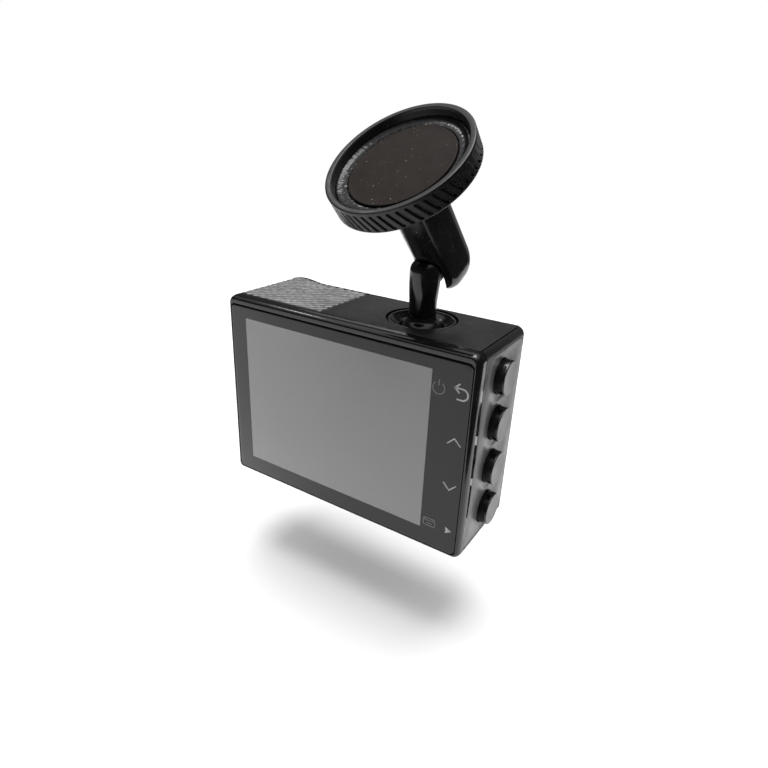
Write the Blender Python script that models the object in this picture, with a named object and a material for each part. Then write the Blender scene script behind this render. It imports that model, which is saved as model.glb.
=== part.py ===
"""Dash camera on an adjustable adhesive mount, as an assembly of separate pieces.

Metres, +Z up. The origin is the centre of the case's bottom face, and the screen looks along -Y.
The mount's ball sits in the top of the case; its post carries an arm with a round suction head.
"""

import math

import bmesh
import bpy
from mathutils import Matrix, Vector

MM = 0.001

# Clearances
GAP = 0.3 * MM
SEAM = 0.25 * MM
HOLE_GAP = 0.25 * MM
MOVE_GAP = 0.35 * MM

# Case
CASE_WIDTH = 80 * MM
CASE_DEPTH = 29 * MM
CASE_HEIGHT = 58 * MM
CASE_WALL = 1.8 * MM
TOP_EDGE = 2.4 * MM
BOTTOM_EDGE = 2.0 * MM
REAR_EDGE = 1.5 * MM
FRAME_DEPTH = 3.6 * MM
FRAME_LIP = 1.2 * MM
FRAME_ROUND = 2.4 * MM
COVER = 0.9 * MM

# Bulge of the case behind the lens, at its left rear edge
BULGE = 2.7 * MM
BULGE_START = 15.0 * MM
BULGE_CREST = 2.7 * MM

# Screen
GLASS_SIDE = 1.4 * MM
GLASS_BOTTOM = 1.3 * MM
GLASS_TOP = 2.5 * MM
GLASS_THICK = 1.2 * MM
GLASS_CORNER = 1.5 * MM
PANEL_THICK = 1.9 * MM
BORDER_LEFT = 3.6 * MM
BORDER_RIGHT = 8.2 * MM
BORDER_BOTTOM = 3.7 * MM
BORDER_TOP = 1.9 * MM
TRAY_THICK = 0.6 * MM

# Top of the case
POD_COVER_WIDTH = 31.1 * MM
POD_COVER_BACK = 1.3 * MM
TOP_PLATE_RIM = 1.7 * MM

# Side buttons
PANEL_MARGIN = 2.4 * MM
PANEL_REAR = 1.5 * MM
PANEL_FRONT_TOP = 5.6 * MM
PANEL_FRONT_BOTTOM = 2.5 * MM
PANEL_CORNER = 2.5 * MM
BUTTON_COUNT = 4
BUTTON_LOWEST = 8.8 * MM
BUTTON_FROM_TOP = 9.9 * MM
BUTTON_Y = 1.0 * MM
BUTTON_RADIUS = 4.6 * MM
BUTTON_PROUD = 2.2 * MM
BUTTON_TRAVEL = 0.45 * MM
BUTTON_FLANGE = 0.8 * MM
BUTTON_TAB = 0.9 * MM
DISH_DEPTH = 0.35 * MM
DISH_MARGIN = 1.6 * MM
SWITCH_SIDE = 3.4 * MM
SWITCH_HIGH = 1.2 * MM
SWITCH_NIB = 0.5 * MM
SWITCH_NIB_RADIUS = 0.9 * MM
BOARD_THICK = 1.0 * MM

# Lens
LENS_X = -24 * MM
LENS_Z = 34 * MM
LENS_BOSS_RADIUS = 10.5 * MM
LENS_BOSS_PROUD = 5.0 * MM
LENS_BARREL_RADIUS = 6.6 * MM
LENS_GLASS_RADIUS = 5.6 * MM
LENS_RING_THICK = 1.2 * MM
LENS_HOLDER_SIDE = 15 * MM
LENS_HOLDER_LONG = 7 * MM

# Fasteners
CASE_SCREW_RADIUS = 0.6 * MM
CASE_SCREW_HEAD = 1.15 * MM
CASE_SCREW_HEAD_LONG = 0.9 * MM
CASE_POST_RADIUS = 2.1 * MM
CASE_POST_FLOOR = 2.4 * MM

# Electronics
BOARD_FROM_FRONT = 8.1 * MM
BOARD_MARGIN = 4 * MM
BOARD_RIGHT = 28 * MM
BOARD_BOTTOM = 6.6 * MM
BOARD_UNDER_CUP = 1.6 * MM
CARD_LONG = 15 * MM
CARD_WIDE = 11 * MM
CARD_THICK = 0.9 * MM
CARD_Z = 16 * MM
USB_WIDE = 8.9 * MM
USB_HIGH = 3.3 * MM
USB_LONG = 7.4 * MM
USB_WALL = 0.35 * MM
USB_Z = 34 * MM
SPEAKER_RADIUS = 7 * MM
SPEAKER_HIGH = 3 * MM

# Ball joint in the top of the case
STEM_X = 15.2 * MM
STEM_Y = 2.4 * MM
SOCKET_RADIUS = 9.7 * MM
BALL_RADIUS = 6.0 * MM
BALL_DEPTH = 4.8 * MM
CUP_WALL = 1.3 * MM
PRESSURE_PAD_LOW = 1.0 * MM
RING_HIGH = 2.5 * MM
POST_RADIUS = 3.68 * MM
KNEE_RADIUS = 4.07 * MM
KNEE_HEIGHT = 70.3 * MM

# Arm, measured in its own directions: across (the pivot's axis), deep and along
ARM_LEAN = math.radians(38.9)
ARM_YAW = math.radians(-9.7)
ARM_HALF_WIDTH = 5.06 * MM
ARM_HALF_DEPTH = 7.4 * MM
ARM_ROUNDNESS = 0.97
ARM_SPREAD = 1.0 * MM
ARM_BEHIND = 7.5 * MM
PIVOT_BELOW_KNEE = 3.7 * MM
SLOT_HALF = 2.75 * MM
TONGUE_HALF = 1.8 * MM
TONGUE_RADIUS = 4.2 * MM
TONGUE_HALF_HIGH = 3.0 * MM
WASHER_THICK = 0.45 * MM
WASHER_RADIUS = 3.6 * MM
PIVOT_RADIUS = 1.1 * MM
PIVOT_HEAD_RADIUS = 2.0 * MM
PIVOT_HEAD_LONG = 1.0 * MM
ARM_TILT_RANGE = math.radians(25)

# Suction head
HEAD_REACH = 33.9 * MM
RING_RADIUS = 18.25 * MM
RING_INNER = 16.6 * MM
RING_DEPTH = 5.6 * MM
RING_RIBS = 54
RING_TWIST = math.radians(-8)
RIB_DEPTH = 0.55 * MM
RING_FRONT_BAND = 1.0 * MM
RING_BACK_BAND = 0.55 * MM
RING_LIP = 0.9 * MM
DISC_HUB_RADIUS = 14.8 * MM
PAD_RADIUS = 13.4 * MM
PAD_RECESS = 2.2 * MM
PAD_THICK = 0.9 * MM
CORE_THICK = 0.8 * MM
CORE_ROD_RADIUS = 2.0 * MM
SLEEVE_RADIUS = 3.6 * MM
SLEEVE_LONG = 5.4 * MM

# Values worked out from the ones above
HALF_WIDTH = CASE_WIDTH / 2
FRONT = -CASE_DEPTH / 2
BACK = CASE_DEPTH / 2
PARTING = FRONT + FRAME_DEPTH
COVER_SEAT = COVER + GAP
CAVITY_LEFT = -HALF_WIDTH + COVER_SEAT + CASE_WALL
CAVITY_RIGHT = HALF_WIDTH - COVER_SEAT - CASE_WALL
CAVITY_TOP = CASE_HEIGHT - COVER_SEAT - CASE_WALL
CAVITY_BACK = BACK - CASE_WALL
GLASS_SEAT = GLASS_THICK + GAP
BUTTON_PITCH = (CASE_HEIGHT - BUTTON_LOWEST - BUTTON_FROM_TOP) / (BUTTON_COUNT - 1)
BALL_Z = CASE_HEIGHT - BALL_DEPTH
CUP_FLOOR = -BALL_RADIUS - PRESSURE_PAD_LOW - GAP - CUP_WALL
BOARD_TOP = BALL_Z + CUP_FLOOR - BOARD_UNDER_CUP

# Colour, roughness, metallic
FINISHES = {
    "gloss_black": ((0.010, 0.010, 0.011), 0.16, 0.0),
    "satin_black": ((0.016, 0.016, 0.017), 0.42, 0.0),
    "matt_black": ((0.030, 0.030, 0.031), 0.60, 0.0),
    "dark_glass": ((0.055, 0.057, 0.060), 0.10, 0.0),
    "display": ((0.30, 0.31, 0.31), 0.35, 0.0),
    "ribbed_silver": ((0.33, 0.33, 0.34), 0.38, 0.6),
    "satin_grey": ((0.11, 0.11, 0.112), 0.33, 0.0),
    "steel": ((0.55, 0.55, 0.56), 0.30, 1.0),
    "brass": ((0.62, 0.47, 0.20), 0.35, 1.0),
    "board_green": ((0.02, 0.12, 0.06), 0.50, 0.0),
    "lens_glass": ((0.03, 0.03, 0.05), 0.05, 0.0),
    "white_ceramic": ((0.70, 0.68, 0.62), 0.50, 0.0),
    "white_plastic": ((0.72, 0.71, 0.68), 0.45, 0.0),
    "cell_blue": ((0.10, 0.16, 0.30), 0.45, 0.0),
    "rubber": ((0.020, 0.020, 0.020), 0.75, 0.0),
    "gel_brown": ((0.045, 0.034, 0.029), 0.45, 0.0),
}


# ---------------------------------------------------------------- helpers


def clear_scene():
    for thing in list(bpy.data.objects):
        bpy.data.objects.remove(thing)


def axes_matrix(origin, x_axis, y_axis, z_axis):
    turn = Matrix((x_axis, y_axis, z_axis)).transposed().to_4x4()
    return Matrix.Translation(origin) @ turn


def facing_up(x, y, z):
    """Local Z points up."""
    return Matrix.Translation((x, y, z))


def facing_front(x, y, z):
    """Local Z points out of the screen, local Y points up."""
    return axes_matrix((x, y, z), (1, 0, 0), (0, 0, 1), (0, -1, 0))


def facing_back(x, y, z):
    """Local Z points out of the lens side, local Y points up."""
    return axes_matrix((x, y, z), (-1, 0, 0), (0, 0, 1), (0, 1, 0))


def facing_right(x, y, z):
    """Local Z points out of the button side, local X points back, local Y points up."""
    return axes_matrix((x, y, z), (0, 1, 0), (0, 0, 1), (1, 0, 0))


def new_material(node, finish):
    colour, roughness, metallic = FINISHES[finish]
    made = bpy.data.materials.new(f"{node}_{finish}")
    made.use_nodes = True
    shader = made.node_tree.nodes["Principled BSDF"]
    shader.inputs["Base Color"].default_value = (*colour, 1.0)
    shader.inputs["Roughness"].default_value = roughness
    shader.inputs["Metallic"].default_value = metallic
    return made


def add_object(name, shape, place, finish):
    """Makes the object of a bmesh, shaded smooth with its real edges sharp. A finish of None is a cutter."""
    bmesh.ops.recalc_face_normals(shape, faces=shape.faces)
    mesh = bpy.data.meshes.new(name)
    shape.to_mesh(mesh)
    shape.free()
    mesh.shade_smooth()
    mesh.set_sharp_from_angle(angle=math.radians(32))
    made = bpy.data.objects.new(name, mesh)
    bpy.context.scene.collection.objects.link(made)
    made.matrix_world = place
    if finish is None:
        made.hide_render = True
        made.display_type = "WIRE"
    else:
        mesh.materials.append(new_material(name, finish))
    return made


def loft(name, place, loops, finish):
    """A solid through loops of as many points each, with both ends closed."""
    shape = bmesh.new()
    rows = [[shape.verts.new(point) for point in loop] for loop in loops]
    for low, high in zip(rows, rows[1:]):
        for i, corner in enumerate(low):
            j = (i + 1) % len(low)
            shape.faces.new((corner, low[j], high[j], high[i]))
    shape.faces.new(list(reversed(rows[0])))
    shape.faces.new(rows[-1])
    return add_object(name, shape, place, finish)


def prism(name, place, outline, low, high, finish):
    """An outline in local XY, extruded from low to high along local Z."""
    loops = [[(x, y, z) for x, y in outline] for z in (low, high)]
    return loft(name, place, loops, finish)


def lathe(name, place, profile, finish, steps=32):
    """A solid turned about local Z from a closed profile of (radius, height) points."""
    shape = bmesh.new()
    rings = []
    for radius, height in profile:
        if radius == 0:
            rings.append([shape.verts.new((0, 0, height))] * steps)
            continue
        ring = []
        for i in range(steps):
            turn = math.tau * i / steps
            ring.append(shape.verts.new((radius * math.cos(turn), radius * math.sin(turn), height)))
        rings.append(ring)
    for low, high in zip(rings, rings[1:] + rings[:1]):
        for i in range(steps):
            j = (i + 1) % steps
            corners = list(dict.fromkeys((low[i], low[j], high[j], high[i])))
            if len(corners) > 2:
                shape.faces.new(corners)
    return add_object(name, shape, place, finish)


def arc(centre, radius, start, end, steps):
    """Points on an arc, in degrees, both ends included."""
    points = []
    for i in range(steps + 1):
        turn = math.radians(start + (end - start) * i / steps)
        points.append((centre[0] + radius * math.cos(turn), centre[1] + radius * math.sin(turn)))
    return points


def rounded_box(left, bottom, right, top, radii, steps=4):
    """A rectangle with rounded corners. radii go anticlockwise from the bottom left corner."""
    if not isinstance(radii, tuple):
        radii = (radii,) * 4
    corners = ((left, bottom, 1, 1), (right, bottom, -1, 1), (right, top, -1, -1), (left, top, 1, -1))
    points = []
    for turn, ((x, y, x_in, y_in), radius) in enumerate(zip(corners, radii)):
        start = 180 + 90 * turn
        points += arc((x + x_in * radius, y + y_in * radius), radius, start, start + 90, steps)
    return points


def rounded_rect(width, height, radii, steps=4):
    return rounded_box(-width / 2, -height / 2, width / 2, height / 2, radii, steps)


def inset(outline, distance):
    """An anticlockwise outline moved inwards by a distance."""
    moved = []
    for i, point in enumerate(outline):
        here = Vector(point)
        before = (here - Vector(outline[i - 1])).normalized()
        after = (Vector(outline[(i + 1) % len(outline)]) - here).normalized()
        normals = (Vector((-before.y, before.x)), Vector((-after.y, after.x)))
        shared = (normals[0] + normals[1]) / (1 + normals[0].dot(normals[1]))
        moved.append(tuple(here + shared * distance))
    return moved


def boolean(target, other, operation):
    modifier = target.modifiers.new(other.name, "BOOLEAN")
    modifier.operation = operation
    modifier.object = other
    return target


def cut(target, *cutters):
    for cutter in cutters:
        boolean(target, cutter, "DIFFERENCE")
    return target


def join(target, *others):
    for other in others:
        boolean(target, other, "UNION")
    return target


def cylinder(name, place, radius, low, high, finish, steps=24):
    profile = [(0, low), (radius, low), (radius, high), (0, high)]
    return lathe(name, place, profile, finish, steps)


def box(name, place, width, height, low, high, finish, corner=0.3 * MM, steps=2):
    """A block with rounded upright edges, centred on its place in local XY."""
    return prism(name, place, rounded_rect(width, height, corner, steps), low, high, finish)


def hang_on(name, place, *pieces):
    """An empty on a joint's axis that carries the pieces which move about it."""
    empty = bpy.data.objects.new(name, None)
    empty.empty_display_size = 5 * MM
    bpy.context.scene.collection.objects.link(empty)
    empty.matrix_world = place
    for piece in pieces:
        piece.parent = empty
        piece.matrix_parent_inverse = place.inverted()
    return empty


# ---------------------------------------------------------------- case


def case_loops(first, edge):
    """Outlines of the case, back from a first depth, which close in over its rounded rear edge."""
    layers = [(first, 0.0)]
    steps = 3
    for i in range(steps + 1):
        turn = math.pi / 2 * i / steps
        layers.append((BACK - edge * (1 - math.sin(turn)), edge * (1 - math.cos(turn))))
    loops = []
    for depth, closing in layers:
        radii = tuple(radius - closing for radius in (BOTTOM_EDGE, BOTTOM_EDGE, TOP_EDGE, TOP_EDGE))
        outline = rounded_box(-HALF_WIDTH + closing, closing, HALF_WIDTH - closing, CASE_HEIGHT - closing, radii)
        loops.append([(x, z, depth) for x, z in outline])
    return loops


def bulge_loops():
    """The bulge behind the lens, as plans from the bottom to the top, drawn in at both ends."""
    crest = -HALF_WIDTH + BULGE_CREST
    base = BACK - 4 * MM
    plan = [(-HALF_WIDTH, base), (crest + BULGE_START, base)]
    for i in range(7):
        share = i / 6
        x = crest + (BULGE_START - BULGE_CREST) * (1 - share)
        plan.append((x, BACK + BULGE * (1 - math.cos(math.pi * share)) / 2 - 0.1 * MM * (1 - share)))
    plan += arc((crest, BACK + BULGE - BULGE_CREST), BULGE_CREST, 112.5, 180, 3)
    middle = crest + 6 * MM
    loops = []
    for height, share in ((0.5 * MM, 0.8), (1.2 * MM, 0.93), (2.4 * MM, 1.0)):
        loops.append([(middle + (x - middle) * share, base + (y - base) * share, height) for x, y in plan])
    for height, share in ((2.4 * MM, 1.0), (1.0 * MM, 0.93), (0.35 * MM, 0.8)):
        top = CASE_HEIGHT - height
        loops.append([(middle + (x - middle) * share, base + (y - base) * share, top) for x, y in plan])
    return loops


def panel_outline(grown=0.0):
    """The side panel seen from the right, as (y, z), with its front edge leaning back towards the top."""
    back = BACK - PANEL_REAR
    low, high = PANEL_MARGIN, CASE_HEIGHT - PANEL_MARGIN
    front_low = FRONT + PANEL_FRONT_BOTTOM
    front_high = FRONT + PANEL_FRONT_TOP
    corner = PANEL_CORNER
    points = [(front_low, low)]
    points += arc((back - corner, low + corner), corner, -90, 0, 4)
    points += arc((back - corner, high - corner), corner, 0, 90, 4)
    points += arc((front_high + corner, high - corner), corner, 90, 176, 4)
    return inset(points, -grown)


def button_heights():
    return [BUTTON_LOWEST + BUTTON_PITCH * i for i in range(BUTTON_COUNT)]


def case_screw_places():
    left, right = CAVITY_LEFT + 0.4 * MM, CAVITY_RIGHT - 3.7 * MM
    low, high = CASE_WALL + 2.2 * MM, CAVITY_TOP - 2.6 * MM
    return [(left, low), (left, high), (right, low), (right, high)]


def glass_box(grown):
    """left, bottom, right, top of the glass, grown on each side."""
    return (
        -HALF_WIDTH + GLASS_SIDE - grown,
        GLASS_BOTTOM - grown,
        HALF_WIDTH - GLASS_SIDE + grown,
        CASE_HEIGHT - GLASS_TOP + grown,
    )


def display_box(grown):
    """left, bottom, right, top of the display behind the glass, grown on each side."""
    left, bottom, right, top = glass_box(0)
    return (
        left + BORDER_LEFT - grown,
        bottom + BORDER_BOTTOM - grown,
        right - BORDER_RIGHT + grown,
        top - BORDER_TOP + grown,
    )


def make_front_frame():
    """Frame round the glass. It is drawn from its front face, at local Z 0, back to the parting line."""
    place = facing_front(0, FRONT, 0)
    corner = (BOTTOM_EDGE, BOTTOM_EDGE, TOP_EDGE, TOP_EDGE)
    loops = []
    steps = 5
    for i in range(steps + 1):
        turn = math.pi / 2 * i / steps
        depth = FRAME_ROUND * (1 - math.sin(turn))
        edge = FRAME_LIP * (1 - math.cos(turn))
        loops.append((depth, edge))
    loops = [(FRAME_DEPTH, 0.0)] + sorted(loops, key=lambda layer: -layer[0])
    rings = []
    for depth, edge in loops:
        radii = tuple(radius - edge for radius in corner)
        outline = rounded_box(-HALF_WIDTH + edge, edge, HALF_WIDTH - edge, CASE_HEIGHT - edge, radii)
        rings.append([(x, z, -depth) for x, z in outline])
    frame = loft("front_frame", place, rings, "gloss_black")
    seat = prism("glass_seat_cut", place, rounded_box(*glass_box(SEAM), GLASS_CORNER + SEAM),
                 -GLASS_SEAT, MM, None)
    window = prism("display_window_cut", place, rounded_box(*display_box(GAP), 0.8 * MM),
                   -FRAME_DEPTH - MM, 0, None)
    cut(frame, seat, window, side_panel_cutter("front_side_panel_cut"))
    for i, (x, z) in enumerate(case_screw_places()):
        hole = cylinder(f"frame_screw_hole_{i + 1}", facing_front(x, PARTING, z),
                        CASE_SCREW_RADIUS + 0.2 * MM, -MM, 1.5 * MM, None, 12)
        cut(frame, hole)
    return frame


def side_panel_cutter(name):
    outline = panel_outline(SEAM)
    return prism(name, facing_right(HALF_WIDTH - COVER_SEAT, 0, 0), outline, 0, 5 * MM, None)


def pod_cover_outline(grown):
    """Section of the wrap-around cover: across the top, round the edge and down the left side."""
    edge_x, edge_z = -HALF_WIDTH + TOP_EDGE, CASE_HEIGHT - TOP_EDGE
    right = -HALF_WIDTH + POD_COVER_WIDTH + grown
    low = BOTTOM_EDGE + 0.4 * MM - grown
    outer, inner = TOP_EDGE + grown * 20, TOP_EDGE - COVER - grown
    points = [(right, edge_z + outer)]
    points += arc((edge_x, edge_z), outer, 90, 180, 6)
    points.append((edge_x - outer, low))
    points.append((edge_x - inner, low))
    points += arc((edge_x, edge_z), inner, 180, 90, 6)
    points.append((right, edge_z + inner))
    return points


def make_rear_shell():
    front = PARTING + GAP
    shell = loft("rear_shell", facing_back(0, 0, 0), case_loops(front, REAR_EDGE), "satin_black")
    join(shell, loft("bulge_join", facing_up(0, 0, 0), bulge_loops(), None))
    boss = cylinder("lens_boss_join", facing_back(LENS_X, BACK, LENS_Z), LENS_BOSS_RADIUS,
                    -1.2 * MM, LENS_BOSS_PROUD, None, 40)
    join(shell, boss)
    cavity_box = (CAVITY_LEFT, CASE_WALL, CAVITY_RIGHT, CAVITY_TOP)
    cavity = prism("cavity_cut", facing_front(0, 0, 0), rounded_box(*cavity_box, MM),
                   -CAVITY_BACK, CASE_DEPTH, None)
    cut(shell, cavity)
    post_high = CAVITY_BACK + 0.5 * MM - front
    for i, (x, z) in enumerate(case_screw_places()):
        post = cylinder(f"case_post_{i + 1}", facing_back(x, front, z), CASE_POST_RADIUS, 0,
                        post_high, None, 16)
        join(shell, post)
    for i, (x, z) in enumerate(board_post_places()):
        post = cylinder(f"board_post_{i + 1}", facing_back(x, board_back() + GAP, z), 2 * MM, 0,
                        CAVITY_BACK - board_back(), None, 12)
        join(shell, post)
    cut(shell, *shell_cutters())
    return shell


def board_front():
    return FRONT + BOARD_FROM_FRONT


def board_back():
    return board_front() + BOARD_THICK


def board_post_places():
    return [(-19 * MM, 9 * MM), (BOARD_RIGHT - 4 * MM, 9 * MM), (BOARD_RIGHT - 4 * MM, BOARD_TOP - 3 * MM)]


def shell_cutters():
    """Everything that is taken out of the rear shell once its posts are on."""
    cutters = [side_panel_cutter("rear_side_panel_cut")]
    low = CASE_HEIGHT - COVER_SEAT
    left = -HALF_WIDTH + POD_COVER_WIDTH + GAP
    right = HALF_WIDTH - TOP_PLATE_RIM + SEAM
    cutters.append(prism("top_plate_cut", facing_up(0, 0, 0),
                         rounded_box(left - GAP, -CASE_DEPTH, right, CASE_DEPTH, 0.2 * MM, 1),
                         low, low + 5 * MM, None))
    cutters.append(prism("pod_cover_cut", facing_front(0, 0, 0), pod_cover_outline(GAP),
                         -BACK + POD_COVER_BACK - GAP, CASE_DEPTH, None))
    cutters.append(cylinder("socket_hole_cut", facing_up(STEM_X, STEM_Y, 0), SOCKET_RADIUS,
                            CAVITY_TOP - MM, CASE_HEIGHT + MM, None, 40))
    bore = LENS_BARREL_RADIUS + GAP
    cutters.append(cylinder("lens_bore_cut", facing_back(LENS_X, BACK, LENS_Z), bore,
                            -6 * MM, LENS_BOSS_PROUD + MM, None, 32))
    cutters.append(cylinder("lens_ring_cut", facing_back(LENS_X, BACK, LENS_Z),
                            LENS_BOSS_RADIUS - 1.2 * MM, LENS_BOSS_PROUD - LENS_RING_THICK, 8 * MM, None, 40))
    for i, z in enumerate(button_heights()):
        cutters.append(cylinder(f"button_hole_cut_{i + 1}", facing_right(CAVITY_RIGHT, BUTTON_Y, z),
                                BUTTON_RADIUS + HOLE_GAP, -0.5 * MM, 5 * MM, None, 32))
    head_depth = CASE_DEPTH
    for i, (x, z) in enumerate(case_screw_places()):
        front = PARTING + GAP
        cutters.append(cylinder(f"screw_hole_cut_{i + 1}", facing_back(x, front, z),
                                CASE_SCREW_RADIUS + 0.2 * MM, -MM, CASE_POST_FLOOR + MM, None, 12))
        cutters.append(cylinder(f"screw_well_cut_{i + 1}", facing_back(x, front, z),
                                CASE_SCREW_HEAD + HOLE_GAP, CASE_POST_FLOOR, head_depth, None, 12))
    for i, (x, z) in enumerate(board_post_places()):
        cutters.append(cylinder(f"board_hole_cut_{i + 1}", facing_back(x, board_back(), z),
                                0.85 * MM, -MM, 5 * MM, None, 12))
    grille_x, grille_z = speaker_place()
    for i in range(5):
        x = grille_x + (i - 2) * 2.2 * MM
        half = math.sqrt(SPEAKER_RADIUS**2 - (x - grille_x) ** 2) - 2 * MM
        cutters.append(box(f"grille_cut_{i + 1}", facing_back(x, CAVITY_BACK, grille_z), MM, 2 * half,
                           -0.5 * MM, 5 * MM, None, 0.45 * MM, 3))
    cutters.append(box("usb_opening_cut", port_place(USB_Z, usb_middle()), USB_HIGH + 2 * SEAM,
                       USB_WIDE + 2 * SEAM, -4 * MM, 2 * MM, None, USB_HIGH / 2, 5))
    cutters.append(box("card_opening_cut", port_place(CARD_Z, card_middle()), CARD_THICK + 2 * SEAM,
                       CARD_WIDE + 2 * SEAM, -4 * MM, 2 * MM, None, 0.3 * MM, 1))
    cutters.append(cylinder("microphone_hole_cut", facing_up(microphone_x(), board_back() + 1.2 * MM, 0),
                            0.5 * MM, -MM, 3 * MM, None, 10))
    return cutters


def port_place(z, y):
    """On the left side of the case: local Z points out, local X back, local Y down."""
    return axes_matrix((-HALF_WIDTH, y, z), (0, 1, 0), (0, 0, -1), (-1, 0, 0))


def usb_middle():
    return board_back() + GAP + USB_HIGH / 2


def card_middle():
    return board_back() + GAP + 0.9 * MM + CARD_THICK / 2


def microphone_x():
    return BOARD_RIGHT - 9 * MM


def speaker_place():
    return 17 * MM, 21 * MM


def make_top_plate():
    """Cover plate of the top, drawn in section from the left and swept along X."""
    centre = (BACK - REAR_EDGE, CASE_HEIGHT - REAR_EDGE)
    low = CASE_HEIGHT - COVER
    lowest = math.degrees(math.asin((low - centre[1]) / REAR_EDGE))
    points = [(PARTING + GAP / 2, low)]
    points += arc(centre, REAR_EDGE, lowest, 90, 4)
    points.append((PARTING + GAP / 2, CASE_HEIGHT))
    left = -HALF_WIDTH + POD_COVER_WIDTH + GAP
    plate = prism("top_plate", facing_right(0, 0, 0), points, left, HALF_WIDTH - TOP_PLATE_RIM, "matt_black")
    hole = cylinder("top_plate_hole_cut", facing_up(STEM_X, STEM_Y, 0), SOCKET_RADIUS,
                    CAVITY_TOP, CASE_HEIGHT + MM, None, 40)
    return cut(plate, hole)


def make_pod_cover():
    depth_back = -BACK + POD_COVER_BACK
    cover = prism("pod_cover", facing_front(0, 0, 0), pod_cover_outline(0), depth_back,
                  -PARTING - GAP / 2, "ribbed_silver")
    usb = box("cover_usb_cut", port_place(USB_Z, usb_middle()), USB_HIGH + 4 * SEAM, USB_WIDE + 4 * SEAM,
              -2 * MM, 2 * MM, None, USB_HIGH / 2, 5)
    card = box("cover_card_cut", port_place(CARD_Z, card_middle()), CARD_THICK + 4 * SEAM,
               CARD_WIDE + 4 * SEAM, -2 * MM, 2 * MM, None, 0.3 * MM, 1)
    return cut(cover, usb, card)


def make_side_panel():
    place = facing_right(HALF_WIDTH, 0, 0)
    panel = prism("side_panel", place, panel_outline(), -COVER, 0, "satin_grey")
    for i, z in enumerate(button_heights()):
        at = facing_right(HALF_WIDTH, BUTTON_Y, z)
        hole_radius = BUTTON_RADIUS + HOLE_GAP
        rim = hole_radius + DISH_MARGIN
        dish = lathe(f"button_dish_cut_{i + 1}", at,
                     [(0, -2 * MM), (hole_radius, -2 * MM), (hole_radius, -DISH_DEPTH), (rim, 0),
                      (rim + DISH_MARGIN, DISH_DEPTH), (0, DISH_DEPTH)], None, 32)
        cut(panel, dish)
    return panel


def make_screen():
    glass = prism("screen_glass", facing_front(0, FRONT, 0), rounded_box(*glass_box(0), GLASS_CORNER),
                  -GLASS_THICK, 0, "dark_glass")
    depth = GLASS_SEAT
    module = prism("lcd_module", facing_front(0, FRONT, 0), rounded_box(*display_box(0), 0.6 * MM, 2),
                   -depth - PANEL_THICK, -depth, "display")
    back = depth + PANEL_THICK + GAP
    tray = prism("lcd_tray", facing_front(0, FRONT, 0), rounded_box(*display_box(-1.2 * MM), 0.6 * MM, 2),
                 -back - TRAY_THICK, -back, "steel")
    return glass, module, tray


def make_case_screws():
    screws = []
    floor = PARTING + GAP + CASE_POST_FLOOR + 0.1 * MM
    length = CASE_POST_FLOOR + 1.3 * MM
    for i, (x, z) in enumerate(case_screw_places()):
        slot = CASE_SCREW_HEAD_LONG * 0.6
        profile = [(0, -length), (CASE_SCREW_RADIUS, -length), (CASE_SCREW_RADIUS, 0),
                   (CASE_SCREW_HEAD, 0), (CASE_SCREW_HEAD, CASE_SCREW_HEAD_LONG),
                   (CASE_SCREW_HEAD / 2, CASE_SCREW_HEAD_LONG), (CASE_SCREW_HEAD / 2, slot), (0, slot)]
        screws.append(lathe(f"case_screw_{i + 1}", facing_back(x, floor, z), profile, "steel", 12))
    return screws


def make_lens():
    """Lens parts, drawn outwards from the back face of the case."""
    place = facing_back(LENS_X, BACK, LENS_Z)
    tip = LENS_BOSS_PROUD - LENS_RING_THICK - GAP
    barrel_back = -CASE_DEPTH / 2 + 2.5 * MM
    bore = LENS_GLASS_RADIUS + GAP
    barrel = lathe("lens_barrel", place, [
        (4.4 * MM, barrel_back), (LENS_BARREL_RADIUS, barrel_back), (LENS_BARREL_RADIUS, tip),
        (bore, tip), (bore, tip - 3.2 * MM), (4.4 * MM, tip - 3.2 * MM)], "satin_black", 32)
    dome = [(0, tip - 2.8 * MM), (LENS_GLASS_RADIUS, tip - 2.8 * MM), (LENS_GLASS_RADIUS, tip - 1.4 * MM)]
    bulge = 1.9 * MM
    for i in range(1, 5):
        turn = math.pi / 2 * i / 4
        dome.append((LENS_GLASS_RADIUS * math.cos(turn) if i < 4 else 0, tip - 1.4 * MM + bulge * math.sin(turn)))
    glass = lathe("lens_front", place, dome, "lens_glass", 32)
    rear = lathe("lens_rear", place, [
        (0, barrel_back + 1 * MM), (4.1 * MM, barrel_back + 1 * MM), (4.1 * MM, barrel_back + 2.4 * MM),
        (0, barrel_back + 3.2 * MM)], "lens_glass", 24)
    ring_outer = LENS_BOSS_RADIUS - 1.2 * MM - SEAM
    ring_low = LENS_BOSS_PROUD - LENS_RING_THICK + GAP
    ring = lathe("lens_ring", place, [
        (LENS_GLASS_RADIUS + 0.9 * MM, ring_low), (ring_outer, ring_low),
        (ring_outer, ring_low + LENS_RING_THICK - 0.3 * MM), (ring_outer - 0.3 * MM, ring_low + LENS_RING_THICK),
        (LENS_GLASS_RADIUS + 1.6 * MM, ring_low + LENS_RING_THICK)], "steel", 40)
    holder_back = -CASE_DEPTH / 2 + 1.6 * MM
    holder = box("lens_holder", place, LENS_HOLDER_SIDE, LENS_HOLDER_SIDE, holder_back,
                 holder_back + LENS_HOLDER_LONG, "matt_black", MM)
    holder_bore = cylinder("holder_bore_cut", place, LENS_BARREL_RADIUS + GAP, -CASE_DEPTH, 0, None, 32)
    cut(holder, holder_bore)
    sensor = box("sensor_board", place, LENS_HOLDER_SIDE, LENS_HOLDER_SIDE, holder_back - GAP - MM,
                 holder_back - GAP, "board_green", MM)
    chip = box("image_sensor", place, 7 * MM, 5.5 * MM, holder_back, holder_back + 0.7 * MM, "dark_glass")
    return barrel, glass, rear, ring, holder, sensor, chip


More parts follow.
